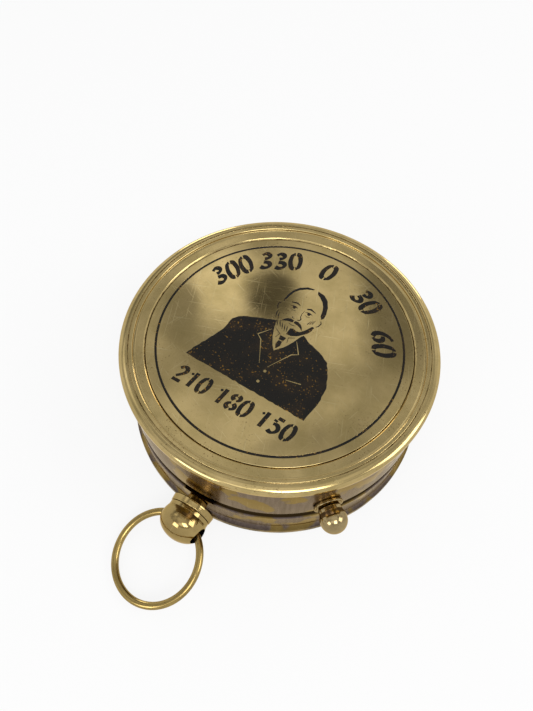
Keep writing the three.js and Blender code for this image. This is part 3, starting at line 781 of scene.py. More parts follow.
@dataclass(frozen=True)
class CaseBrass(Brass):
    """Case brass with mauve-brown tarnish that a cloth has rubbed through in places.

    Tarnish on brass goes from brown to a purple grey. It lies in patches with crisp
    edges and runs in upright streaks. The groove is darkened with painted shade,
    and the brass darkens in patches towards the foot.
    """

    tarnish: str = "#483D3B"
    streak: str = "#7E716A"
    # dark brown for the painted shade in the groove, also laid in patches towards the foot
    groove_shade_foot_dark: str = "#2A1F10"

    def staining(
        self, tree: Tree, place: Source, radial: Source, axial: Source, colour: Source, gloss: Source,
    ) -> tuple[Source, Source]:
        """Lays tarnish on the outside, painted shade in the groove, and dark brown in patches towards the
        foot.

        Args:
            tree: the material's tree.
            place: Object coordinates.
            radial: distance from the axis.
            axial: station along the axis.
            colour: colour so far.
            gloss: roughness so far.

        Returns:
            The colour and the roughness.
        """
        streaky = add_node(tree, Kind.MAPPING, {"Vector": place, "Scale": (1.0, 1.0, 0.08)})
        streaks = add_node(
            tree, Kind.NOISE, {"Vector": streaky, "Scale": 1 / (0.45 * MM), "Detail": 2.0})
        patches = add_node(
            tree, Kind.NOISE, {"Vector": place, "Scale": 1 / (6 * MM), "Detail": 2.0, "Roughness": 0.45})
        share = add_node(tree, Kind.RANGE, {"Value": patches, "From Min": 0.43, "From Max": 0.475})
        outside = add_node(
            tree, Kind.RANGE, {"Value": radial, "From Min": 29.6 * MM, "From Max": 30.2 * MM})
        share = add_node(tree, Kind.MATH, {0: share, 1: outside}, operation="MULTIPLY")
        film = add_node(
            tree, Kind.MIX, {0: streaks, 6: linear(self.tarnish), 7: linear(self.streak)}, data_type="RGBA",
        ).outputs[2]
        colour = add_node(tree, Kind.MIX, {0: share, 6: colour, 7: film}, data_type="RGBA").outputs[2]
        # painted shade in the groove, and dark brown in patches towards the foot
        low = add_node(tree, Kind.RANGE, {"Value": axial, "From Min": 3.6 * MM, "From Max": 1.2 * MM})
        in_groove = add_node(
            tree, Kind.RANGE, {"Value": radial, "From Min": 31.15 * MM, "From Max": 30.9 * MM})
        groove = add_node(tree, Kind.MATH, {0: in_groove, 1: outside}, operation="MULTIPLY")
        spread = add_node(tree, Kind.RANGE, {"Value": patches, "From Min": 0.3, "From Max": 0.5})
        low = add_node(tree, Kind.MATH, {0: low, 1: spread}, operation="MULTIPLY")
        dirt_and_shade = add_node(tree, Kind.MATH, {0: low, 1: groove}, operation="MAXIMUM")
        colour = add_node(
            tree, Kind.MIX, {0: dirt_and_shade, 6: colour, 7: linear(self.groove_shade_foot_dark)}, data_type="RGBA").outputs[2]
        haze = add_node(tree, Kind.MATH, {0: share, 1: 0.12}, operation="MULTIPLY")
        gloss = add_node(tree, Kind.MATH, {0: gloss, 1: haze}, operation="ADD")
        return colour, gloss


@dataclass(frozen=True)
class Enamel:
    """Black stove enamel filled into an etching, worn so that specks of brass show through."""

    name: str
    black: str = "#100E0A"
    brown: str = "#21180D"
    speck: str = "#8F6B30"
    wear: float = 0.66

    def build(self) -> bpy.types.Material:
        """Makes the material.

        Returns:
            The material.
        """
        material, tree = new_tree(self.name)
        place = add_node(tree, Kind.COORDS).outputs["Object"]
        cloud = add_node(tree, Kind.NOISE, {"Vector": place, "Scale": 1 / (5 * MM), "Detail": 3.0})
        share = add_node(tree, Kind.RANGE, {"Value": cloud, "From Min": 0.45, "From Max": 0.75})
        colour = add_node(
            tree, Kind.MIX, {0: share, 6: linear(self.black), 7: linear(self.brown)}, data_type="RGBA",
        ).outputs[2]
        grit = add_node(tree, Kind.NOISE, {"Vector": place, "Scale": 1 / (0.42 * MM), "Detail": 2.0})
        lifted = add_node(tree, Kind.MATH, {0: cloud, 1: 0.3, 2: grit}, operation="MULTIPLY_ADD")
        specks = add_node(
            tree, Kind.RANGE,
            {"Value": lifted, "From Min": self.wear + 0.15, "From Max": self.wear + 0.2},
        )
        colour = add_node(
            tree, Kind.MIX, {0: specks, 6: colour, 7: linear(self.speck)}, data_type="RGBA").outputs[2]
        normal = add_node(tree, Kind.BUMP, {"Height": grit, "Strength": 0.5, "Distance": 0.04 * MM})
        shader = add_node(
            tree, Kind.PRINCIPLED,
            {"Base Color": colour, "Metallic": specks, "Roughness": 0.24, "Specular IOR Level": 0.2,
             "Normal": normal},
        )
        add_node(tree, Kind.OUTPUT, {"Surface": shader})
        return material


@dataclass(frozen=True)
class PlainMetal:
    """Steel or silvered brass with faint cloudiness and a satin grain, drawn coarse so that it shows."""

    name: str
    colour: str
    shade: str
    roughness: float = 0.34
    second: str | None = None
    grain_mm: float = 0.25

    def build(self) -> bpy.types.Material:
        """Makes the material.

        Returns:
            The material.
        """
        material, tree = new_tree(self.name)
        place = add_node(tree, Kind.COORDS).outputs["Object"]
        cloud = add_node(tree, Kind.NOISE, {"Vector": place, "Scale": 1 / (4 * MM), "Detail": 4.0})
        colour = add_node(
            tree, Kind.MIX, {0: cloud, 6: linear(self.colour), 7: linear(self.shade)}, data_type="RGBA",
        ).outputs[2]
        if self.second:
            along = add_node(tree, Kind.SPLIT, {0: place}).outputs["Y"]
            south = add_node(
                tree, Kind.RANGE, {"Value": along, "From Min": -1.6 * MM, "From Max": -2.0 * MM})
            colour = add_node(
                tree, Kind.MIX, {0: south, 6: colour, 7: linear(self.second)}, data_type="RGBA",
            ).outputs[2]
        gloss = add_node(
            tree, Kind.RANGE,
            {"Value": cloud, "From Min": 0.3, "From Max": 0.7,
             "To Min": self.roughness - 0.07, "To Max": self.roughness + 0.07},
        )
        grain = add_node(
            tree, Kind.NOISE, {"Vector": place, "Scale": 1 / (self.grain_mm * MM), "Detail": 2.0})
        normal = add_node(tree, Kind.BUMP, {"Height": grain, "Strength": 0.15, "Distance": 0.02 * MM})
        shader = add_node(
            tree, Kind.PRINCIPLED,
            {"Base Color": colour, "Metallic": 1.0, "Roughness": gloss, "Normal": normal},
        )
        add_node(tree, Kind.OUTPUT, {"Surface": shader})
        return material


@dataclass(frozen=True)
class WindowGlass:
    """Flat crown glass, polished, with a trace of green and faint wipe marks."""

    name: str = "crown_glass"
    colour: str = "#F1F7F4"

    def build(self) -> bpy.types.Material:
        """Makes the material.

        Returns:
            The material.
        """
        material, tree = new_tree(self.name)
        place = add_node(tree, Kind.COORDS).outputs["Object"]
        wiped = add_node(tree, Kind.NOISE, {"Vector": place, "Scale": 1 / (6 * MM), "Detail": 2.0})
        gloss = add_node(tree, Kind.RANGE, {"Value": wiped, "To Min": 0.01, "To Max": 0.06})
        shader = add_node(
            tree, Kind.PRINCIPLED,
            {"Base Color": linear(self.colour), "Metallic": 0.0, "Roughness": gloss, "IOR": 1.52,
             "Transmission Weight": 1.0},
        )
        add_node(tree, Kind.OUTPUT, {"Surface": shader})
        return material


class Slot(Enum):
    """Material slots of the record."""

    CASE = "tarnished_brass"
    RIM = "aged_brass"
    PLATE = "etched_brass"
    BRASS = "polished_brass"
    DIAL = "silvered_dial"
    STEEL = "steel"
    NEEDLE = "blued_steel"
    GLASS = "window_glass"


VIEW_TURN = math.radians(28.6)
STUD_TURN = math.radians(-42)
STUD_HEIGHT = 13.8
PENDANT_HEIGHT = 5.8
STUD_AXIS = Axis((0.0, 0.0, STUD_HEIGHT * MM), (math.cos(STUD_TURN), math.sin(STUD_TURN), 0.0))
PENDANT_AXIS = Axis((0.0, 0.0, PENDANT_HEIGHT * MM), (0.0, -1.0, 0.0))

# Places that lay +Z outward along the stud and along the pendant, in millimetres
STUD_WAY = (
    Matrix.Translation((0, 0, STUD_HEIGHT)) @ Matrix.Rotation(STUD_TURN, 4, "Z")
    @ Matrix.Rotation(math.pi / 2, 4, "Y")
)
PENDANT_WAY = Matrix.Translation((0, 0, PENDANT_HEIGHT)) @ Matrix.Rotation(math.pi / 2, 4, "X")


class Finishes:
    """Every finish of the compass, made once."""

    def __init__(self) -> None:
        """Builds the materials."""
        self.rim = RimBrass(
            "rim_brass", line_depth=0.06, scratch=0.2, wave=0.12, roughness=(0.09, 0.17)).build()
        self.plate = Brass(
            "plate_brass", line_depth=0.02, scratch=0.35, wave=0.1, roughness=(0.05, 0.1)).build()
        self.inside = Brass("lid_inside_brass", line_depth=0.3, line_mm=0.3).build()
        self.case = CaseBrass(
            "case_brass", clean="#7D683A", dull="#604E2B", patina=0.7, scratch=0.12,
            roughness=(0.1, 0.2)).build()
        self.pendant = Brass(
            "pendant_brass", clean="#A6905E", dull="#76623C", axis=PENDANT_AXIS, roughness=(0.05, 0.11),
            line_depth=0.25, scratch=0.15, wave=0.1).build()
        self.wire = Brass(
            "wire_brass", clean="#9C8651", dull="#705D36", line_depth=0.0, scratch=0.1,
            roughness=(0.16, 0.28), wave=0.05).build()
        self.stud = Brass(
            "stud_brass", clean="#9F8D66", dull="#6A583E", axis=STUD_AXIS, roughness=(0.07, 0.15),
            line_depth=0.2, scratch=0.1, wave=0.1, patch_mm=2.5).build()
        self.works = Brass("works_brass", clean="#C4A660", line_depth=0.1, scratch=0.2).build()
        self.enamel = Enamel("etch_enamel").build()
        self.ink = Enamel("dial_enamel", wear=0.9).build()
        self.steel = PlainMetal("turned_steel", "#8F9296", "#6E7175").build()
        self.blued = PlainMetal("blued_steel", "#2C3F73", "#1F2C52", 0.3, second="#A9ABAE").build()
        self.silver = PlainMetal("silvered_brass", "#D3CDB9", "#BFB8A2", 0.42, grain_mm=0.15).build()
        self.glass = WindowGlass().build()


# Sub-assemblies, in millimetres

@dataclass
class Lid:
    """Moulded lid rim with an etched plate let into it."""

    lip: float = 32.0
    seat: float = 22.7
    top: float = 24.9
    ridge: float = 30.55
    crown: float = 1.0
    groove: tuple[float, float] = (30.0, 30.2)
    groove_floor: float = 24.68
    bead: float = 29.2
    band: tuple[float, float] = (27.2, 28.7)
    band_drop: float = 0.65
    recess: float = 26.9
    ledge: float = 25.0
    ledge_low: float = 22.2
    skirt: tuple[float, float] = (27.5, 29.0)
    skirt_low: float = 21.4
    skirt_chamfer: float = 0.7
    plate_radius: float = 26.82
    plate_low: float = 23.0
    plate_top: float = 24.0
    ring_line: tuple[float, float] = (24.55, 25.0)
    etch: float = 0.12
    cutter: float = 1.0
    fill_proud: float = 0.05
    fill_edge: float = 0.07
    fill_gap: float = 0.01
    bright_proud: float = 0.02
    facets: int = 192
    body: str = "lid"

    def build(self, finishes: Finishes) -> None:
        """Builds rim, plate and etching.

        Args:
            finishes: the compass's finishes.
        """
        make_piece(turned(self.rim(), True, self.facets), "lid_rim", self.body,
                   finishes.rim, ("lid_ring",))
        art = Etching()
        floor = self.plate_top - self.etch
        over = Matrix.Translation((0, 0, floor + self.cutter / 2))
        cutters = joined(*(placed(shape, over) for shape in art.shapes(self.cutter)))
        plate = worked(turned(self.plate(), False, self.facets), cutters, Joinery.CUT)
        make_piece(plate, "etched_plate", self.body, finishes.plate, ("lid_plate",))
        depth = self.etch + self.fill_proud
        within = Matrix.Translation((0, 0, floor + depth / 2))
        fills = [placed(softened(shape, self.fill_edge, above=0.0), within) for shape in art.shapes(depth)]
        for name, fill in zip(("top_figures_enamel", "bottom_figures_enamel", "bust_enamel"), fills):
            make_piece(fill, name, self.body, finishes.enamel)
        bright = slab(art.bright_lines(), floor + self.bright_proud, floor + depth + self.bright_proud)
        make_piece(bright, "coat_lines", self.body, finishes.plate)
        inner, outer = self.ring_line[0] + self.fill_gap, self.ring_line[1] - self.fill_gap
        line = [
            (inner, floor, 0), (outer, floor, 0), (outer, floor + depth, self.fill_edge),
            (inner, floor + depth, self.fill_edge),
        ]
        make_piece(turned(line, True, self.facets), "ring_line_enamel", self.body,
                   finishes.enamel)

    def rim(self) -> list[Corner]:
        """Section of the rim, from the plate's ledge round the skirt and the lip.

        Returns:
            The corners.
        """
        band = self.top - self.band_drop
        lip = curve_points(
            (self.ridge, self.top - self.crown), (self.lip - self.ridge, self.crown), 0, 104, 13)
        return [
            (self.ledge, self.ledge_low, 0.1), (self.skirt[0], self.ledge_low, 0.15),
            (self.skirt[0], self.skirt_low, 0.15),
            (self.skirt[1] - self.skirt_chamfer, self.skirt_low, 0.1),
            (self.skirt[1], self.skirt_low + self.skirt_chamfer, 0.1), (self.skirt[1], self.seat, 0.1),
            (self.lip, self.seat, 0.7), *lip,
            (self.groove[1], self.groove_floor, 0.05), (self.groove[0], self.groove_floor, 0.05),
            (self.groove[0], self.top, 0.4), (self.bead, self.top, 0.4), (self.bead, band + 0.12, 0.12),
            (self.band[1], band, 0.25), (self.band[0], band, 0.12), (self.recess, band - 0.35, 0.06),
            (self.recess, self.plate_low, 0.05), (self.ledge, self.plate_low, 0.1),
        ]

    def plate(self) -> list[Corner]:
        """Profile of the plate with the groove of its ring line.

        Returns:
            The corners.
        """
        inner, outer = self.ring_line
        floor = self.plate_top - self.etch
        return [
            (0, self.plate_low, 0), (self.plate_radius, self.plate_low, 0.05),
            (self.plate_radius, self.plate_top, 0.15), (outer, self.plate_top, 0.02), (outer, floor, 0),
            (inner, floor, 0), (inner, self.plate_top, 0.02), (0, self.plate_top, 0),
        ]


def stroke(line: list[Point], widths: tuple[float, ...]) -> list[Point]:
    """Outline of a pen stroke that swells and tapers.

    Args:
        line: middle of the stroke.
        widths: width at each point.

    Returns:
        The closed outline.
    """
    middle = [Vector(p) for p in line]
    left, right = [], []
    for i, (point, width) in enumerate(zip(middle, widths)):
        along = (middle[min(i + 1, len(middle) - 1)] - middle[max(i - 1, 0)]).normalized()
        aside = Vector((-along.y, along.x)) * width / 2
        left.append(tuple(point + aside))
        right.append(tuple(point - aside))
    return right + left[::-1]


def smoothed(line: list[Point]) -> list[Point]:
    """Draws a smooth curve through the points of a line.

    Args:
        line: points that the curve passes through.

    Returns:
        The points of the curve.
    """
    knots = [Vector(p) for p in (line[0], *line, line[-1])]
    points = []
    for before, start, end, after in zip(knots, knots[1:], knots[2:], knots[3:]):
        for i in range(CURVE_STEPS):
            t = i / CURVE_STEPS
            bend = (2 * before - 5 * start + 4 * end - after) * t ** 2
            twist = (3 * start - before - 3 * end + after) * t ** 3
            points.append(tuple((2 * start + (end - before) * t + bend + twist) / 2))
    return [*points, line[-1]]


def pen_stroke(line: list[Point], pen: tuple[float, float]) -> list[Point]:
    """Outline of a stroke of a broad pen, thick across its slant and thin along it.

    Args:
        line: middle of the stroke.
        pen: least and greatest width.

    Returns:
        The closed outline.
    """
    widths = []
    for before, after in zip([line[0], *line[:-1]], [*line[1:], line[-1]]):
        heading = math.atan2(after[1] - before[1], after[0] - before[0])
        widths.append(pen[0] + (pen[1] - pen[0]) * abs(math.sin(heading - PEN_SLANT)))
    return stroke(line, tuple(widths))


# Figures for a broad pen in a box 0.6 wide and 1 high, with gaps where strokes would meet
FIGURES: dict[str, tuple[list[Point], ...]] = {
    "0": (
        [(0.275, 0.95), (0.2, 0.93), (0.12, 0.83), (0.06, 0.5), (0.12, 0.17), (0.2, 0.07), (0.275, 0.05)],
        [(0.335, 0.95), (0.41, 0.93), (0.49, 0.83), (0.55, 0.5), (0.49, 0.17), (0.41, 0.07), (0.335, 0.05)],
    ),
    "1": ([(0.06, 0.75), (0.17, 0.83)], [(0.34, 0.97), (0.34, 0.5), (0.34, 0.03)]),
    "2": ([(0.08, 0.76), (0.2, 0.92), (0.38, 0.92), (0.48, 0.77), (0.43, 0.58), (0.29, 0.4), (0.16, 0.26)],
          [(0.1, 0.05), (0.3, 0.05), (0.56, 0.05)]),
    "3": ([(0.1, 0.84), (0.24, 0.94), (0.4, 0.9), (0.46, 0.78), (0.38, 0.66), (0.22, 0.62)],
          [(0.2, 0.41), (0.42, 0.39), (0.52, 0.25), (0.43, 0.1), (0.26, 0.05), (0.08, 0.12)]),
    "5": ([(0.18, 0.94), (0.34, 0.94), (0.52, 0.94)], [(0.16, 0.81), (0.14, 0.69)],
          [(0.13, 0.54), (0.3, 0.57), (0.46, 0.47), (0.51, 0.28), (0.4, 0.1), (0.24, 0.05), (0.08, 0.12)]),
    "6": ([(0.46, 0.93), (0.28, 0.82), (0.13, 0.58), (0.09, 0.34), (0.14, 0.16), (0.28, 0.06)],
          [(0.26, 0.5), (0.42, 0.5), (0.52, 0.34), (0.48, 0.15), (0.36, 0.06)]),
    "8": ([(0.27, 0.95), (0.16, 0.9), (0.11, 0.79), (0.15, 0.69), (0.25, 0.63)],
          [(0.35, 0.95), (0.46, 0.9), (0.5, 0.79), (0.46, 0.69), (0.37, 0.63)],
          [(0.24, 0.43), (0.13, 0.36), (0.08, 0.24), (0.13, 0.12), (0.26, 0.05)],
          [(0.37, 0.43), (0.49, 0.36), (0.54, 0.24), (0.49, 0.12), (0.35, 0.05)]),
}


def pen_number(text: str, height: float, pen: tuple[float, float], lean: float) -> list[list[Point]]:
    """Outlines of a number centred on the origin.

    Args:
        text: the figures.
        height: height of a figure, in millimetres.
        pen: least and greatest width of the pen, as shares of the height.
        lean: slant to the right as a share of the height.

    Returns:
        The closed outlines.
    """
    pitch, half_box = 0.71, 0.3
    outlines = []
    for place, figure in enumerate(text):
        shift = (place - (len(text) - 1) / 2) * pitch - half_box
        for line in FIGURES[figure]:
            outlines.append([
                (height * (x + shift + lean * (y - 0.5)), height * (y - 0.5))
                for x, y in pen_stroke(smoothed(line), pen)
            ])
    return outlines


def turned_about(outline: list[Point], bearing: float, radius: float) -> list[Point]:
    """Stands an outline on a circle.

    Args:
        outline: outline with +Y outward.
        bearing: clockwise angle from +Y, in degrees.
        radius: radius of the circle.

    Returns:
        The moved outline.
    """
    turn = Matrix.Rotation(math.radians(-bearing), 2)
    return [tuple(turn @ Vector((x, y + radius))) for x, y in outline]


def flipped(line: list[Point]) -> list[Point]:
    """The same points on the other side of the middle line, in reverse order."""
    return [(-x, y) for x, y in reversed(line)]


def ragged(outline: list[Point], step: float, amount: float) -> list[Point]:
    """Roughens an outline as etching through a worn mask does.

    Args:
        outline: closed outline.
        step: length of each piece of edge.
        amount: how far points stray.

    Returns:
        The roughened outline.
    """
    draw = random.Random(len(outline))
    points = []
    for start, end in zip(outline, outline[1:] + outline[:1]):
        span = Vector(end) - Vector(start)
        aside = Vector((-span.y, span.x)).normalized()
        count = max(1, round(span.length / step))
        for i in range(count):
            stray = draw.uniform(-amount, amount) if i else 0.0
            points.append(tuple(Vector(start) + span * (i / count) + aside * stray))
    return points


@dataclass
class Etching:
    """Figures and a bust, drawn as flat outlines on the lid plate with +Y up."""

    arc_radius: float = 20.7
    arc_height: float = 4.5
    line_y: float = -16.5
    line_height: float = 3.7
    line_middle: float = -0.6
    line_pitch: float = 9.3
    pen: tuple[float, float] = (0.13, 0.235)
    lean: float = 0.12

    def shapes(self, depth: float) -> list[Shape]:
        """Raised outlines centred on the plane z = 0.

        Args:
            depth: thickness of the outlines.

        Returns:
            Top figures, bottom figures and bust.
        """
        top = [
            turned_about(outline, bearing, self.arc_radius)
            for bearing in range(-60, 61, 30)
            for outline in pen_number(str(bearing % 360), self.arc_height, self.pen, self.lean)
        ]
        bottom = [
            [(x + self.line_middle + place * self.line_pitch, y + self.line_y) for x, y in outline]
            for place, text in ((-1, "210"), (0, "180"), (1, "150"))
            for outline in pen_number(text, self.line_height, self.pen, self.lean)
        ]
        bust = [self.coat(), *self.tie(), *self.hair(), *self.features(), *self.beard()]
        return [slab(drawn, -depth / 2, depth / 2) for drawn in (top, bottom, bust)]

    def coat(self) -> list[Point]:
        """Dark coat with an open collar, cut off straight at the chest, its edges etched ragged.

        Returns:
            The closed outline.
        """
        outline = [
            (12.6, -12.9), (-14.4, -12.2), (-13.6, -9.7), (-12.6, -7.2), (-11.9, -5.3), (-11.3, -3.5),
            (-11.1, -0.4), (-10.3, 0.7), (-9.3, 1.4), (-6.4, 2.7), (-3.2, 4.0), (-2.9, 3.0), (-2.2, 1.0),
            (-1.2, -1.0), (0.0, -2.6), (1.3, -1.0), (2.3, 1.0), (3.0, 3.0), (3.4, 3.6), (4.8, 2.8),
            (7.2, 2.0), (9.0, 1.3), (10.4, 0.5), (11.9, -2.1), (13.0, -4.7), (13.2, -8.0), (12.9, -10.6),
        ]
        return ragged(outline, 0.7, 0.09)

    def tie(self) -> list[list[Point]]:
        """Collar edges, and a tie with its knot.

        Returns:
            The closed outlines.
        """
        wing = [(2.2, 2.2), (1.0, 1.5), (1.35, 0.3)]
        knot = [(-0.7, 1.25), (0.7, 1.25), (0.5, 0.25), (-0.5, 0.25)]
        tail = [(-0.4, 0.05), (0.4, 0.05), (0.55, -1.0), (0.1, -1.9), (-0.1, -1.9), (-0.5, -1.0)]
        return [stroke(wing, (0.1, 0.16, 0.1)), stroke(flipped(wing), (0.1, 0.16, 0.1)), knot, tail]

    def hair(self) -> list[list[Point]]:
        """Hair swept back from a high forehead, in shade on one side, and the ears below it.

        Returns:
            The closed outlines.
        """
        shaded = [
            (0.6, 15.0), (2.2, 14.7), (3.5, 13.7), (4.35, 12.2), (4.8, 10.6), (4.85, 9.4), (4.5, 8.9),
            (4.0, 9.6), (3.75, 10.8), (3.3, 12.0), (2.6, 13.0), (1.7, 13.75), (0.8, 14.3),
        ]
        lit = [
            (-0.3, 15.05), (-1.8, 14.8), (-3.2, 13.8), (-4.1, 12.3), (-4.5, 10.7), (-4.55, 9.3),
            (-4.3, 8.9), (-4.15, 9.8), (-4.05, 10.8), (-3.7, 12.1), (-2.9, 13.3), (-1.7, 14.25),
            (-0.5, 14.7),
        ]
        ear = [(4.65, 8.5), (5.0, 8.0), (4.85, 7.2), (4.45, 6.7)]
        widths = (0.14, 0.24, 0.22, 0.12)
        return [ragged(shaded, 0.5, 0.05), ragged(lit, 0.5, 0.04), stroke(ear, widths),
                stroke(flipped(ear), widths)]

    def features(self) -> list[list[Point]]:
        """Brows, eyes on the middle line of the head, and a nose a third above the chin.

        Returns:
            The closed outlines.
        """
        brow = [(0.8, 9.7), (1.6, 10.05), (2.8, 9.7)]
        eye = [
            (0.82, 8.72), (1.2, 9.02), (1.7, 9.16), (2.2, 9.05), (2.62, 8.74), (2.35, 8.83), (2.08, 8.9),
            (2.06, 8.62), (1.88, 8.4), (1.62, 8.38), (1.42, 8.55), (1.36, 8.86), (1.1, 8.83),
        ]
        under = [(1.1, 8.15), (1.7, 7.98), (2.3, 8.15)]
        ridge = [(0.6, 9.1), (0.48, 8.2), (0.58, 7.3), (0.95, 6.75), (0.8, 6.35), (0.35, 6.25)]
        nostril = [(-0.9, 6.6), (-0.75, 6.3), (-0.35, 6.22)]
        cheeks = [[(3.7 - 0.35 * i, 8.1 - 0.3 * i), (3.45 - 0.4 * i, 6.9 - 0.25 * i)] for i in range(3)]
        both = [
            stroke(brow, (0.28, 0.42, 0.12)), stroke(flipped(brow), (0.24, 0.36, 0.1)), eye, flipped(eye),
            stroke(under, (0.06, 0.1, 0.06)), stroke(flipped(under), (0.06, 0.1, 0.06)),
        ]
        return [
            *both, stroke(ridge, (0.08, 0.12, 0.18, 0.26, 0.24, 0.12)),
            stroke(nostril, (0.1, 0.18, 0.1)), *(stroke(c, (0.08, 0.2)) for c in cheeks),
        ]

    def beard(self) -> list[list[Point]]:
        """Moustache, closed mouth and a short beard, solid on the shaded side and combed on the lit.

        Returns:
            The closed outlines.
        """
        lobe = [
            (0.12, 5.8), (0.8, 5.92), (1.6, 5.6), (2.2, 4.95), (2.5, 4.35), (1.9, 4.75), (1.2, 5.05),
            (0.12, 5.25),
        ]
        mouth = [(-0.8, 4.72), (0.0, 4.58), (0.8, 4.72)]
        shaded = [
            (4.3, 6.4), (4.2, 5.4), (3.75, 4.4), (2.95, 3.5), (2.25, 2.75), (1.3, 2.2), (0.15, 2.05),
            (0.15, 3.7), (0.8, 4.0), (1.5, 3.75), (2.3, 3.95), (2.9, 4.7), (3.4, 5.6), (3.8, 6.4),
        ]
        combed = [
            [(-4.2, 6.5), (-4.1, 5.5), (-3.7, 4.5)], [(-3.7, 6.1), (-3.5, 5.2), (-3.0, 4.3)],
            [(-3.3, 4.3), (-2.9, 3.7), (-2.3, 3.0)], [(-2.6, 4.4), (-2.2, 3.7), (-1.7, 3.0)],
            [(-1.9, 4.1), (-1.5, 3.4), (-1.1, 2.6)], [(-1.2, 4.0), (-0.9, 3.3), (-0.55, 2.4)],
            [(-0.55, 3.9), (-0.35, 3.3), (-0.15, 2.6)],
        ]
        return [
            ragged(lobe, 0.5, 0.03), ragged(flipped(lobe), 0.5, 0.03), stroke(mouth, (0.08, 0.14, 0.08)),
            ragged(shaded, 0.5, 0.05), *(stroke(c, (0.08, 0.24, 0.08)) for c in combed),
        ]

    def bright_lines(self) -> list[list[Point]]:
        """Lapels, a pocket and buttons left bright on the coat.

        Returns:
            The closed outlines.
        """
        lapel = [(-2.9, 1.6), (-4.7, -0.9), (-3.5, -1.7), (-0.9, -6.6)]
        pocket = [(5.4, -7.2), (8.4, -6.5)]
        angles = [math.radians(36 * i) for i in range(10)]
        button = 0.32
        buttons = [
            [(1.0 + button * math.cos(a), y + button * math.sin(a)) for a in angles] for y in (-7.6, -10.2)
        ]
        return [stroke(lapel, (0.08, 0.2, 0.2, 0.08)), stroke(flipped(lapel), (0.08, 0.2, 0.2, 0.08)),
                stroke(pocket, (0.1, 0.22)), *buttons]


@dataclass
class Case:
    """Turned case with a foot, a groove, a stepped bore and a notch for the hinge."""

    wall: float = 31.2
    height: float = 22.6
    foot: float = 31.9
    foot_height: float = 2.2
    cove_height: float = 1.35
    groove_height: float = 9.65
    groove_half: float = 1.6
    groove_depth: float = 0.7
    mouth: float = 29.4
    glass_shelf: float = 17.8
    bore: float = 28.2
    dial_shelf: float = 9.0
    well: float = 25.6
    floor: float = 2.0
    notch: tuple[Place, Place] = ((-5.4, 27.6, 20.1), (5.4, 33.0, 23.0))
    stud_hole: float = 2.65
    stud_hole_start: float = 25.0
    pendant_hole: float = 1.6
    pendant_hole_start: float = 28.3
    hole_end: float = 36.0
    facets: int = 192
    hole_facets: int = 48
    body: str = "case"

    def build(self, finishes: Finishes) -> None:
        """Builds the case.

        Args:
            finishes: the compass's finishes.
        """
        case = worked(turned(self.profile(), False, self.facets), block(*self.notch), Joinery.CUT)
        holes = (
            (self.stud_hole, self.stud_hole_start, STUD_WAY),
            (self.pendant_hole, self.pendant_hole_start, PENDANT_WAY),
        )
        for radius, start, way in holes:
            drill = rod(radius, start, self.hole_end, steps=self.hole_facets)
            case = worked(case, placed(drill, way), Joinery.CUT)
        make_piece(case, "case_shell", self.body, finishes.case, ("case_body",))

    def profile(self) -> list[Corner]:
        """Outside from the foot up, then the stepped bore down to the floor.

        Returns:
            The corners.
        """
        overhang = self.foot - self.wall
        cove = [
            (self.wall + overhang * (1 - s / 6) ** 2, self.foot_height + self.cove_height * s / 6, 0.0)
            for s in range(1, 7)
        ]
        groove = [
            (self.wall - self.groove_depth * (1 - (s / 8) ** 2),
             self.groove_height + self.groove_half * s / 8, 0.0)
            for s in range(-8, 9)
        ]
        return [
            (0, 0, 0), (self.foot, 0, 1.0), (self.foot, self.foot_height, 0.3), *cove, *groove,
            (self.wall, self.height, 0.15), (self.mouth, self.height, 0.15),
            (self.mouth, self.glass_shelf, 0.05), (self.bore, self.glass_shelf, 0.05),
            (self.bore, self.dial_shelf, 0.05), (self.well, self.dial_shelf, 0.05),
            (self.well, self.floor, 0.3), (0, self.floor, 0),
        ]


@dataclass
class Hinge:
    """Three knuckles on a pin, sunk in the notch of the case."""

    y: float = 31.0
    z: float = 21.2
    radius: float = 0.95
    pin: float = 0.45
    clearance: float = 0.05
    reach: float = 5.2
    gap: float = 2.2
    lid_reach: float = 2.0
    tab_low: float = 20.1
    tab_high: float = 22.7
    tab_depth: float = 1.2
    tab_inset: float = 0.1
    facets: int = 32

    def build(self, finishes: Finishes) -> None:
        """Builds the knuckles and the pin.

        Args:
            finishes: the compass's finishes.
        """
        leaves = (
            ("hinge_leaf_left", "case", "hinge_knuckle_left", -self.reach, -self.gap, self.tab_low, self.z),
            ("hinge_leaf_right", "case", "hinge_knuckle_right", self.gap, self.reach, self.tab_low, self.z),
            ("hinge_leaf_lid", "lid", "lid_knuckle", -self.lid_reach, self.lid_reach, self.z, self.tab_high),
        )
        hole = self.pin + self.clearance
        back = self.y - self.radius
        along_x = Matrix.Translation((0, self.y, self.z)) @ Matrix.Rotation(math.pi / 2, 4, "Y")
        for name, body, node, start, end, low, high in leaves:
            section = [
                (hole, start, 0), (self.radius, start, 0.12), (self.radius, end, 0.12), (hole, end, 0)]
            tab = block(
                (start + self.tab_inset, back, low), (end - self.tab_inset, back + self.tab_depth, high))
            leaf = worked(placed(turned(section, True, self.facets), along_x), tab, Joinery.ADD)
            leaf = worked(leaf, placed(rod(hole, start - 1, end + 1), along_x), Joinery.CUT)
            make_piece(leaf, name, body, finishes.works, (node,))
        pin = placed(rod(self.pin, -self.reach, self.reach, 0.15), along_x)
        make_piece(pin, "hinge_rod", "case", finishes.steel, ("hinge_pin",))


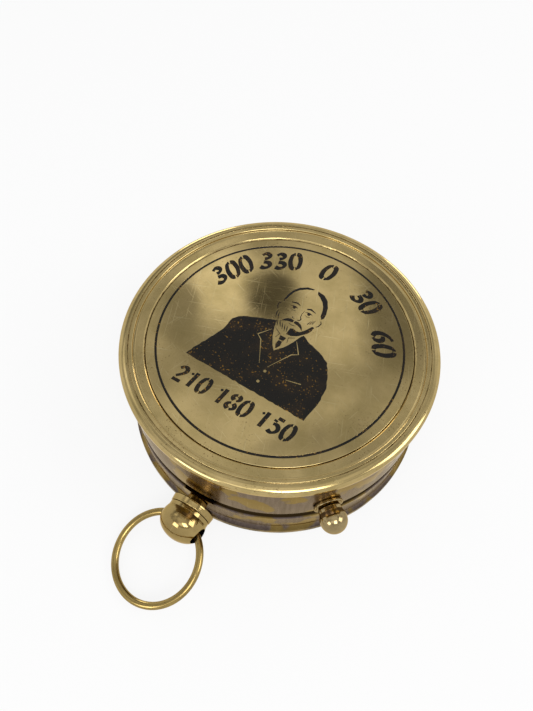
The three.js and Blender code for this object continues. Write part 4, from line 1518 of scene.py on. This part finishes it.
@dataclass
class Pendant:
    """Flange on a boss, domed ball and wire bow ring at the front of the case."""

    wall_face: float = 31.3
    boss: float = 2.2
    shank: float = 1.5
    shank_end: float = 28.4
    shank_gap: float = 0.1
    flange: float = 4.65
    flange_start: float = 32.7
    flange_end: float = 34.1
    ball: float = 4.75
    neck: float = 4.4
    ball_start: float = 34.2
    shoulder_start: float = 35.0
    ball_centre: float = 36.9
    dome: float = 3.4
    hole: float = 1.85
    hole_reach: float = 8.0
    hole_station: float = 36.8
    hole_drop: float = 0.45
    hole_yaw: float = math.radians(-8)
    bow: float = 8.9
    wire: float = 0.75
    sag: float = 0.97
    drop: float = 0.11
    roll: float = math.radians(10.8)
    tilt: float = math.radians(12.5)
    yaw: float = math.radians(-10.1)
    facets: int = 96
    hole_facets: int = 48
    wire_facets: tuple[int, int] = (24, 144)

    def build(self, finishes: Finishes) -> None:
        """Builds the flange, the ball and the ring.

        Args:
            finishes: the compass's finishes.
        """
        make_piece(placed(turned(self.collar(), True, self.facets), PENDANT_WAY), "pendant_collar", "case",
                   finishes.pendant, ("pendant_flange",))
        swing = (
            Matrix.Translation((0, 0, PENDANT_HEIGHT)) @ Matrix.Rotation(-math.pi / 2, 4, "Z")
            @ Matrix.Translation((self.hole_station, 0, -self.hole_drop))
            @ Matrix.Rotation(self.roll, 4, "X")
        )
        across = swing @ Matrix.Rotation(self.hole_yaw, 4, "Z") @ Matrix.Rotation(math.pi / 2, 4, "X")
        drill = placed(rod(self.hole, -self.hole_reach, self.hole_reach, steps=self.hole_facets), across)
        bulb = worked(placed(turned(self.bulb(), False, self.facets), PENDANT_WAY), drill, Joinery.CUT)
        make_piece(bulb, "pendant_bulb", "case", finishes.pendant, ("pendant_ball",))
        hang = (
            swing @ Matrix.Rotation(self.tilt, 4, "Y") @ Matrix.Rotation(self.yaw, 4, "Z")
            @ Matrix.Translation((self.bow - self.sag, 0, -self.drop))
        )
        ring = wound(self.bow, self.wire, *self.wire_facets)
        make_piece(placed(ring, hang), "bow_wire", "bow", finishes.wire, ("bow_ring",))

    def collar(self) -> list[Corner]:
        """Section of the flange with its boss, along the pendant's axis.

        Returns:
            The corners.
        """
        bore = self.shank + self.shank_gap
        return [
            (bore, self.wall_face, 0), (self.boss, self.wall_face, 0.05),
            (self.boss, self.flange_start, 0.1), (self.flange - 0.1, self.flange_start, 0.08),
            (self.flange, self.flange_start + 0.15, 0.12), (self.flange - 0.12, self.flange_end - 0.1, 0.1),
            (self.flange - 0.22, self.flange_end, 0.06), (bore, self.flange_end, 0),
        ]

    def bulb(self) -> list[Corner]:
        """Profile of the shank and the ball, which ends in a flattened dome.

        Returns:
            The corners.
        """
        shoulder_length = self.ball_centre - self.shoulder_start
        shoulder = [
            (self.ball - (self.ball - self.neck) * (1 - s / 8) ** 2,
             self.shoulder_start + shoulder_length * s / 8, 0.0) for s in range(1, 8)
        ]
        dome = curve_points((0, self.ball_centre), (self.ball, self.dome), 0, 90, 24)
        return [
            (0, self.shank_end, 0), (self.shank, self.shank_end, 0.1), (self.shank, self.ball_start, 0),
            (self.neck, self.ball_start, 0.08), (self.neck, self.shoulder_start, 0.2), *shoulder, *dome,
        ]


@dataclass
class Stud:
    """Turned push stud with its bush and return spring, at the side of the case."""

    bore: float = 0.85
    bore_end: float = 35.345
    thread: float = 2.55
    thread_start: float = 26.9
    collar: float = 2.9
    collar_start: float = 31.3
    collar_end: float = 31.8
    sink: float = 2.72
    pocket: float = 2.2
    pocket_mouth: float = 31.0
    pocket_floor: float = 30.55
    neck: float = 2.1
    neck_start: float = 31.65
    flare: float = 2.3
    flare_start: float = 32.3
    flare_end: float = 33.0
    bulb: float = 2.68
    bulb_centre: float = 34.465
    coil: float = 1.25
    coil_wire: float = 0.15
    coil_turns: int = 3
    coil_start: float = 23.55
    coil_end: float = 25.65
    coil_facets: tuple[int, int] = (10, 36)
    squeezed: float = 0.6
    facets: int = 64

    def build(self, finishes: Finishes) -> None:
        """Builds the bush, the knob and the return spring.

        Args:
            finishes: the compass's finishes.
        """
        bush = [
            (self.bore, self.thread_start, 0), (self.thread, self.thread_start, 0.1),
            (self.thread, self.collar_start, 0), (self.collar, self.collar_start, 0.08),
            (self.collar, self.collar_end, 0.2), (self.sink, self.collar_end, 0.06),
            (self.pocket, self.pocket_mouth, 0), (self.pocket, self.pocket_floor, 0),
            (self.bore, self.pocket_floor, 0),
        ]
        make_piece(placed(turned(bush, True, self.facets), STUD_WAY), "stud_collar", "case",
                   finishes.stud, ("stud_bush",))
        knob = [
            (self.bore, self.neck_start, 0), (self.neck, self.neck_start, 0.06),
            (self.neck + 0.02, self.neck_start + 0.25, 0.1), (self.flare, self.flare_start, 0.3),
            (self.flare, self.flare_end, 0.4),
            *curve_points((0, self.bulb_centre), (self.bulb, self.bulb), -27, 90, 20),
            (0, self.bore_end, 0), (self.bore, self.bore_end, 0),
        ]
        make_piece(placed(turned(knob, True, self.facets), STUD_WAY), "stud_bulb", "stud",
                   finishes.stud, ("stud_knob",))
        rise = self.coil_end - self.coil_start
        spring = wound(self.coil, self.coil_wire, *self.coil_facets, self.coil_turns, rise)
        inside = STUD_WAY @ Matrix.Translation((0, 0, self.coil_start))
        coil = make_piece(placed(spring, inside), "spring_coil", "case",
                          finishes.steel, ("return_spring",))
        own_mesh(coil)


@dataclass
class Movement:
    """Compass dial, needle and pivot under the glass."""

    dial_hole: float = 1.0
    dial_radius: float = 28.05
    dial_low: float = 9.0
    dial_top: float = 9.8
    print_height: float = 0.03
    tick_end: float = 21.8
    long_tick: tuple[float, float] = (20.2, 0.14)
    short_tick: tuple[float, float] = (20.9, 0.08)
    circles: tuple[float, float] = (20.0, 22.0)
    circle_half: float = 0.1
    letter: tuple[float, float] = (3.2, 15.6)
    bearing: tuple[float, float] = (1.7, 18.6)
    rose_points: tuple[float, float] = (12.5, 8.5)
    rose_waist: float = 3.4
    rose_height: float = 0.15
    shank: float = 0.9
    post: float = 0.85
    post_foot: float = 2.6
    post_foot_top: float = 10.6
    post_shoulder: float = 15.0
    point: float = 0.12
    point_top: float = 16.1
    cap: float = 1.4
    cap_top: float = 16.7
    cap_flange: float = 2.4
    cap_low: float = 15.0
    cap_cone: float = 1.15
    jewel: float = 0.35
    jewel_top: float = 16.2
    collar: tuple[float, float] = (0.95, 2.2)
    collar_low: float = 12.4
    collar_top: float = 14.7
    needle_reach: float = 21.6
    needle_half: float = 2.6
    needle_low: float = 15.5
    needle_top: float = 16.0
    needle_eye: float = 1.5
    needle_edge: float = 0.1
    facets: int = 128
    post_facets: int = 48

    def build(self, finishes: Finishes) -> None:
        """Builds the dial with its marks, the pivot and the needle.

        Args:
            finishes: the compass's finishes.
        """
        dial = tube(self.dial_hole, self.dial_radius, self.dial_low, self.dial_top, 0.08, self.facets)
        make_piece(dial, "compass_dial", "case", finishes.silver, ("dial_plate",))
        make_piece(self.scale(), "dial_scale", "case", finishes.ink)
        make_piece(self.rose(), "dial_rose", "case", finishes.works)
        post = [
            (0, self.dial_low, 0), (self.shank, self.dial_low, 0), (self.shank, self.dial_top, 0),
            (self.post_foot, self.dial_top, 0.1), (self.post_foot, self.post_foot_top, 0.2),
            (self.post, self.post_foot_top, 0.1), (self.post, self.post_shoulder, 0.05),
            (self.point, self.point_top, 0.02), (0, self.point_top, 0),
        ]
        make_piece(turned(post, False, self.post_facets), "pivot", "case", finishes.works,
                   ("pivot_post",))
        cap = [
            (0, self.jewel_top, 0), (self.jewel, self.jewel_top, 0), (self.cap_cone, self.cap_low, 0.05),
            (self.cap_flange, self.cap_low, 0.1), (self.cap_flange, self.needle_low, 0.1),
            (self.cap, self.needle_low, 0.05), (self.cap, self.cap_top, 0.35), (0, self.cap_top, 0),
        ]
        make_piece(turned(cap, False, self.post_facets), "cap_jewel", "compass_needle",
                   finishes.works, ("needle_cap",))
        collar = tube(*self.collar, self.collar_low, self.collar_top, 0.15, self.post_facets)
        make_piece(collar, "lifting_collar", "lift", finishes.works, ("lift_collar",))
        outline = [
            (0, self.needle_reach), (-self.needle_half, 0), (0, -self.needle_reach), (self.needle_half, 0)]
        blade = slab([outline], self.needle_low, self.needle_top)
        eye = rod(self.needle_eye, self.needle_low - 0.5, self.needle_top + 1)
        blade = softened(worked(blade, eye, Joinery.CUT), self.needle_edge)
        make_piece(blade, "needle_blade", "compass_needle", finishes.blued, ("needle",))

    def scale(self) -> Shape:
        """Degree ticks, bearing figures and cardinal letters as raised print.

        Returns:
            The marks as one shape.
        """
        low, high = self.dial_top, self.dial_top + self.print_height
        ticks = []
        for degrees in range(0, 360, 5):
            start, half = self.short_tick if degrees % 30 else self.long_tick
            ticks.append(tick(math.radians(degrees), start, self.tick_end, half))
        parts = [slab(ticks, low, high)]
        for radius in self.circles:
            inner, outer = radius - self.circle_half, radius + self.circle_half
            parts.append(tube(inner, outer, low, high, 0, self.facets))
        letters = {0: "N", 90: "E", 180: "S", 270: "W"}
        for degrees in range(0, 360, 30):
            height, radius = self.letter if degrees in letters else self.bearing
            text = letters.get(degrees, str(degrees))
            parts.append(figures(text, height, math.radians(degrees), radius, low, high))
        return joined(*parts)

    def rose(self) -> Shape:
        """Eight-pointed compass rose, raised along its ridges.

        Returns:
            The raised rose.
        """
        rose = bmesh.new()
        foot = Vector((0, 0, self.dial_top))
        for point in range(8):
            angle = math.radians(45 * point)
            tip, left, right = (
                foot + Vector((math.sin(angle + aside), math.cos(angle + aside), 0)) * reach
                for aside, reach in (
                    (0, self.rose_points[point % 2]), (-math.pi / 8, self.rose_waist),
                    (math.pi / 8, self.rose_waist))
            )
            ridge = foot + Vector((0, 0, self.rose_height))
            verts = [rose.verts.new(p) for p in (tip, left, ridge, right)]
            rose.faces.new((verts[0], verts[1], verts[2]))
            rose.faces.new((verts[0], verts[2], verts[3]))
        bmesh.ops.remove_doubles(rose, verts=rose.verts[:], dist=MERGE)
        bmesh.ops.holes_fill(rose, edges=[e for e in rose.edges if e.is_boundary])
        bmesh.ops.recalc_face_normals(rose, faces=rose.faces[:])
        return rose


@dataclass
class SundialTop:
    """Glass, hour ring and retaining ring over the compass."""

    glass_low: float = 17.8
    seat: float = 29.25
    inner: float = 22.75
    bar: float = 2.5
    low: float = 18.8
    high: float = 19.5
    keeper: float = 27.95
    keeper_top: float = 20.2
    print_height: float = 0.03
    latitude: float = math.radians(45)
    line_start: float = 23.0
    hour_line: tuple[float, float] = (24.6, 0.11)
    half_line: tuple[float, float] = (23.9, 0.07)
    figure_height: float = 1.8
    figure_radius: float = 26.1
    edge: float = 0.06
    facets: int = 128

    def build(self, finishes: Finishes) -> None:
        """Builds the stack above the dial.

        Args:
            finishes: the compass's finishes.
        """
        pane = rod(self.seat, self.glass_low, self.low, 0.1, self.facets)
        make_piece(pane, "window", "case", finishes.glass, ("glass",))
        ring = tube(self.inner, self.seat, self.low, self.high, 0.08, self.facets)
        bar = block((-self.bar, -self.inner - 1, self.low), (self.bar, self.inner + 1, self.high))
        plate = softened(worked(ring, bar, Joinery.ADD), self.edge)
        make_piece(plate, "hour_plate", "case", finishes.inside, ("hour_ring",))
        make_piece(self.hours(), "hour_marks", "case", finishes.ink)
        keeper = tube(self.keeper, self.seat, self.high, self.keeper_top, 0.12, self.facets)
        make_piece(keeper, "keeper_ring", "case", finishes.works, ("retaining_ring",))

    def hours(self) -> Shape:
        """Hour lines for the latitude and their figures, as raised fill.

        Returns:
            The marks as one shape.
        """
        low, high = self.high, self.high + self.print_height
        lines, parts = [], []
        for half_hours in range(-16, 17):
            spread = math.radians(7.5 * half_hours)
            turn = math.atan2(math.sin(self.latitude) * math.sin(spread), math.cos(spread))
            end, half = self.half_line if half_hours % 2 else self.hour_line
            lines.append(tick(turn, self.line_start, end, half))
            if half_hours % 2 == 0:
                hour = str((12 + half_hours // 2 - 1) % 12 + 1)
                parts.append(figures(hour, self.figure_height, turn, self.figure_radius, low, high))
        parts.append(slab(lines, low, high))
        return joined(*parts)


@dataclass
class Gnomon:
    """Folding shadow plate on two lugs, with its hollowed back edge."""

    hinge_z: float = 20.25
    foot_z: float = 19.5
    barrel: float = 3.0
    barrel_radius: float = 0.7
    pin_hole: float = 0.35
    heel: float = 1.1
    back: float = 11.0
    tip: Point = (16.0, 7.0)
    bend: Point = (8.0, 7.0)
    tail: float = 1.5
    half: float = 0.35
    lug_start: float = 3.2
    lug_end: float = 5.0
    edge: float = 0.07

    def build(self, finishes: Finishes) -> None:
        """Builds the shadow plate and its lugs.

        Args:
            finishes: the compass's finishes.
        """
        leaf = slab([self.outline()], -self.half, self.half)
        leaf = placed(leaf, Matrix.Translation((0, 0, self.hinge_z)))
        leaf = worked(leaf, self.bar(self.barrel_radius, -self.barrel, self.barrel), Joinery.ADD)
        leaf = worked(leaf, self.bar(self.pin_hole, -self.barrel - 1, self.barrel + 1), Joinery.CUT)
        make_piece(softened(leaf, self.edge), "shadow_plate", "gnomon_leaf",
                   finishes.works, ("gnomon",))
        lugs = (
            ("lug_front", "gnomon_lug_front", -self.lug_end, -self.lug_start),
            ("lug_back", "gnomon_lug_back", self.lug_start, self.lug_end),
        )
        for name, node, start, end in lugs:
            foot = block((-self.barrel_radius, start, self.foot_z), (self.barrel_radius, end, self.hinge_z))
            lug = worked(self.bar(self.barrel_radius, start, end), foot, Joinery.ADD)
            lug = worked(lug, self.bar(self.pin_hole, start - 1, end + 1), Joinery.CUT)
            make_piece(lug, name, "case", finishes.works, (node,))

    def outline(self) -> list[Point]:
        """Flat outline of the shadow plate, with a hollow curve from its tip to its tail.

        Returns:
            The closed outline.
        """
        hollow = []
        for step in range(13):
            t = step / 12
            shares = ((1 - t) ** 2, 2 * t * (1 - t), t ** 2)
            knots = (self.tip, self.bend, (self.tail, self.back))
            x, y = (sum(share * knot[i] for share, knot in zip(shares, knots)) for i in range(2))
            hollow.append((self.heel + x, y))
        return [
            (0, -self.barrel), (self.heel, -self.barrel), (self.heel, -self.back),
            (self.heel + self.tail, -self.back), *hollow, (self.heel, self.back),
            (self.heel, self.barrel), (0, self.barrel),
        ]

    def bar(self, radius: float, start: float, end: float) -> Shape:
        """A round bar along the gnomon's hinge line.

        Args:
            radius: its radius.
            start: where it starts along Y.
            end: where it ends.

        Returns:
            The bar.
        """
        along_y = Matrix.Translation((0, 0, self.hinge_z)) @ Matrix.Rotation(-math.pi / 2, 4, "X")
        return placed(rod(radius, start, end, 0.05), along_y)


def dress_nodes(finishes: Finishes) -> None:
    """Gives the CAD nodes that stay their finishes.

    Args:
        finishes: the compass's finishes.
    """
    kept = {
        finishes.steel: ("dial_screw_1", "dial_screw_2", "dial_screw_3", "fulcrum_pin", "plunger_rod",
                         "bracket_screw", "gnomon_pin"),
        finishes.works: ("lifter_lever", "fulcrum_block", "spring_bracket"),
    }
    for material, names in kept.items():
        for name in names:
            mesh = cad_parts[name].data
            mesh.materials.clear()
            mesh.materials.append(material)
            LOG.info("%s: CAD node, %s", name, material.name)


# Studio

@dataclass(frozen=True)
class PhotoCamera:
    """Camera at the photograph's viewing angle, fitted to the lid's rim and ring line."""

    focal_px: float = 620.0
    frame_px: tuple[float, float] = (533.0, 711.0)
    aim_px: tuple[float, float] = (280.15, 341.73)
    distance: float = 0.12436
    elevation: float = 1.0217
    roll: float = 0.0494
    turn: float = VIEW_TURN
    aim_height: float = 0.02375
    sensor_mm: float = 36.0
    nearest: float = 0.005

    def build(self) -> None:
        """Makes the camera and sets it as the scene's."""
        ahead = Vector((0, math.cos(self.elevation), -math.sin(self.elevation)))
        right = Vector((1, 0, 0))
        up = right.cross(ahead)
        tilted = right * math.cos(self.roll) + up * math.sin(self.roll)
        upright = up * math.cos(self.roll) - right * math.sin(self.roll)
        share = self.distance / self.focal_px
        aside = (self.aim_px[0] - self.frame_px[0] / 2) * share
        above = (self.frame_px[1] / 2 - self.aim_px[1]) * share
        stand = -(ahead * self.distance + tilted * aside + upright * above)
        pose = Matrix((tilted, upright, -ahead)).transposed().to_4x4()
        pose.translation = stand
        data = bpy.data.cameras.new("photo_camera")
        data.sensor_width = self.sensor_mm
        data.lens = self.focal_px / self.frame_px[1] * data.sensor_width
        data.clip_start = self.nearest
        camera = bpy.data.objects.new("photo_camera", data)
        camera.matrix_world = (
            Matrix.Translation((0, 0, self.aim_height)) @ Matrix.Rotation(self.turn, 4, "Z") @ pose)
        bpy.context.scene.collection.objects.link(camera)
        bpy.context.scene.camera = camera


@dataclass(frozen=True)
class Panel:
    """Soft lighter or darker panel of the tent, as on a flat ceiling one unit above the object."""

    centre: Point
    reach: Point
    level: float


@dataclass(frozen=True)
class Lamp:
    """Square soft lamp that points at the object.

    Its place is as seen from the camera: right, away and up, in metres. Its size is
    the length of its side, and its power is in watts.
    """

    name: str
    place: Place
    size: float
    power: float

    def build(self, turn: float) -> None:
        """Makes the lamp.

        Args:
            turn: angle about Z from the object's front to the camera's side.
        """
        data = bpy.data.lights.new(self.name, "AREA")
        data.shape = "SQUARE"
        data.size = self.size
        data.energy = self.power
        lamp = bpy.data.objects.new(self.name, data)
        stand = Matrix.Rotation(turn, 3, "Z") @ Vector(self.place)
        aim = (-stand).to_track_quat("-Z", "Y").to_matrix().to_4x4()
        lamp.matrix_world = Matrix.Translation(stand) @ aim
        bpy.context.scene.collection.objects.link(lamp)


@dataclass(frozen=True)
class Studio:
    """White floor under a light tent with soft lamps, as for photographing polished metal."""

    turn: float = VIEW_TURN
    room: float = 0.7
    floor_radius: float = 3.0
    floor_drop: float = 0.0001
    floor_white: float = 0.85
    tent_radius: float = 0.8
    cloth: tuple[float, float] = (0.46, 0.92)
    skirting: tuple[float, float] = (0.44, 0.54)
    panels: tuple[Panel, ...] = (
        Panel((0.0, -0.9), (0.8, 0.4), 1.9), Panel((0.0, -0.25), (0.6, 0.42), 1.1),
        Panel((0.75, 1.0), (0.35, 0.4), 1.2), Panel((-0.62, 0.9), (0.42, 0.45), 0.32),
        Panel((-0.09, 0.77), (0.13, 0.12), 1.35), Panel((0.14, 0.72), (0.1, 0.17), 1.0),
        Panel((0.0, 0.74), (0.075, 0.095), 0.12), Panel((0.285, 0.74), (0.1, 0.26), 0.31),
        Panel((-0.42, 1.3), (0.3, 0.3), 0.3), Panel((-0.6, 0.45), (0.26, 0.24), 1.35),
        Panel((-0.2, 0.68), (0.06, 0.12), 0.42),
    )
    lamps: tuple[Lamp, ...] = (
        Lamp("key_lamp", (0.12, -0.42, 0.55), 0.28, 1.4), Lamp("fill_lamp", (0.5, -0.1, 0.4), 0.3, 1.2),
        Lamp("front_lamp", (-0.4, -0.45, 0.3), 0.25, 0.9), Lamp("right_window", (0.4, 0.6, 0.12), 0.18, 0.5),
        Lamp("left_window", (-0.22, 0.7, 0.14), 0.18, 0.5),
    )

    def build(self) -> None:
        """Makes the world, the floor, the tent and the lamps."""
        world = bpy.data.worlds.new("white_room")
        bpy.context.scene.world = world
        world.use_nodes = True
        background = world.node_tree.nodes["Background"]
        background.inputs["Color"].default_value = (1, 1, 1, 1)
        background.inputs["Strength"].default_value = self.room
        self.floor()
        self.tent()
        for lamp in self.lamps:
            lamp.build(self.turn)

    def floor(self) -> None:
        """A white floor that keeps a soft shadow."""
        shape = bmesh.new()
        bmesh.ops.create_circle(shape, cap_ends=True, segments=64, radius=self.floor_radius)
        bmesh.ops.translate(shape, verts=shape.verts[:], vec=(0, 0, -self.floor_drop))
        material, tree = new_tree("white_floor")
        path = add_node(tree, Kind.LIGHT_PATH)
        seen = path.outputs["Is Camera Ray"]
        for ray in ("Is Glossy Ray", "Is Transmission Ray"):
            seen = add_node(tree, Kind.MATH, {0: seen, 1: path.outputs[ray]}, operation="MAXIMUM")
        share = add_node(tree, Kind.MATH, {0: seen, 1: self.floor_white}, operation="MULTIPLY")
        matt = add_node(tree, Kind.DIFFUSE, {"Color": linear("#CFCFCF")})
        white = add_node(tree, Kind.EMISSION, {"Color": (1, 1, 1, 1), "Strength": 1.0})
        mixed = add_node(tree, Kind.MIX_SHADER, {0: share, 1: matt, 2: white})
        add_node(tree, Kind.OUTPUT, {"Surface": mixed})
        floor = in_scene(shape, "floor", material)

    def tent(self) -> None:
        """A cloth tent with a few soft panels overhead, and plain white low down."""
        shape = bmesh.new()
        bmesh.ops.create_uvsphere(shape, u_segments=64, v_segments=32, radius=self.tent_radius)
        bmesh.ops.bisect_plane(
            shape, geom=[*shape.verts, *shape.edges, *shape.faces], plane_no=(0, 0, 1), clear_inner=True)
        material, tree = new_tree("tent_cloth")
        place = add_node(tree, Kind.COORDS).outputs["Object"]
        place = add_node(
            tree, Kind.MAPPING,
            {"Vector": place, "Rotation": (0, 0, -self.turn), "Scale": (1 / self.tent_radius,) * 3},
        )
        drift = add_node(tree, Kind.NOISE, {"Vector": place, "Scale": 9.0, "Detail": 2.0})
        glow = add_node(
            tree, Kind.RANGE,
            {"Value": drift, "From Min": 0.36, "From Max": 0.64,
             "To Min": self.cloth[0], "To Max": self.cloth[1]},
        )
        parts = add_node(tree, Kind.SPLIT, {0: place})
        ceiling = [
            add_node(tree, Kind.MATH, {0: parts.outputs[axis], 1: parts.outputs["Z"]}, operation="DIVIDE")
            for axis in ("X", "Y")
        ]
        for panel in self.panels:
            away = [
                add_node(tree, Kind.MATH, {0: socket, 1: 1 / reach, 2: -centre / reach},
                         operation="MULTIPLY_ADD")
                for socket, centre, reach in zip(ceiling, panel.centre, panel.reach)
            ]
            flat = add_node(tree, Kind.BUILD, {"X": away[0], "Y": away[1]})
            distance = add_node(tree, Kind.VECTOR, {0: flat}, operation="LENGTH").outputs["Value"]
            share = add_node(
                tree, Kind.RANGE, {"Value": distance, "From Min": 1.1, "From Max": 0.5},
                interpolation_type="SMOOTHSTEP",
            )
            glow = add_node(tree, Kind.MIX, {0: share, 2: glow, 3: panel.level})
        low, high = self.skirting
        skirting = add_node(
            tree, Kind.RANGE, {"Value": parts.outputs["Z"], "From Min": high, "From Max": low})
        glow = add_node(tree, Kind.MIX, {0: skirting, 2: glow, 3: 1.0})
        cloth = add_node(tree, Kind.EMISSION, {"Color": (1, 1, 1, 1), "Strength": glow})
        add_node(tree, Kind.OUTPUT, {"Surface": cloth})
        tent = in_scene(shape, "tent", material)


def main() -> None:
    """Builds the camera, the studio and each sub-assembly, and logs the face count of each piece."""
    logging.basicConfig(level=logging.INFO, format="%(message)s")
    bpy.context.scene.view_settings.view_transform = "Standard"
    PhotoCamera().build()
    Studio().build()
    finishes = Finishes()
    for assembly in (Lid(), Case(), Hinge(), Pendant(), Stud(), Movement(), SundialTop(), Gnomon()):
        assembly.build(finishes)
    dress_nodes(finishes)
    bpy.context.view_layer.update()


if __name__ == "__main__":
    main()
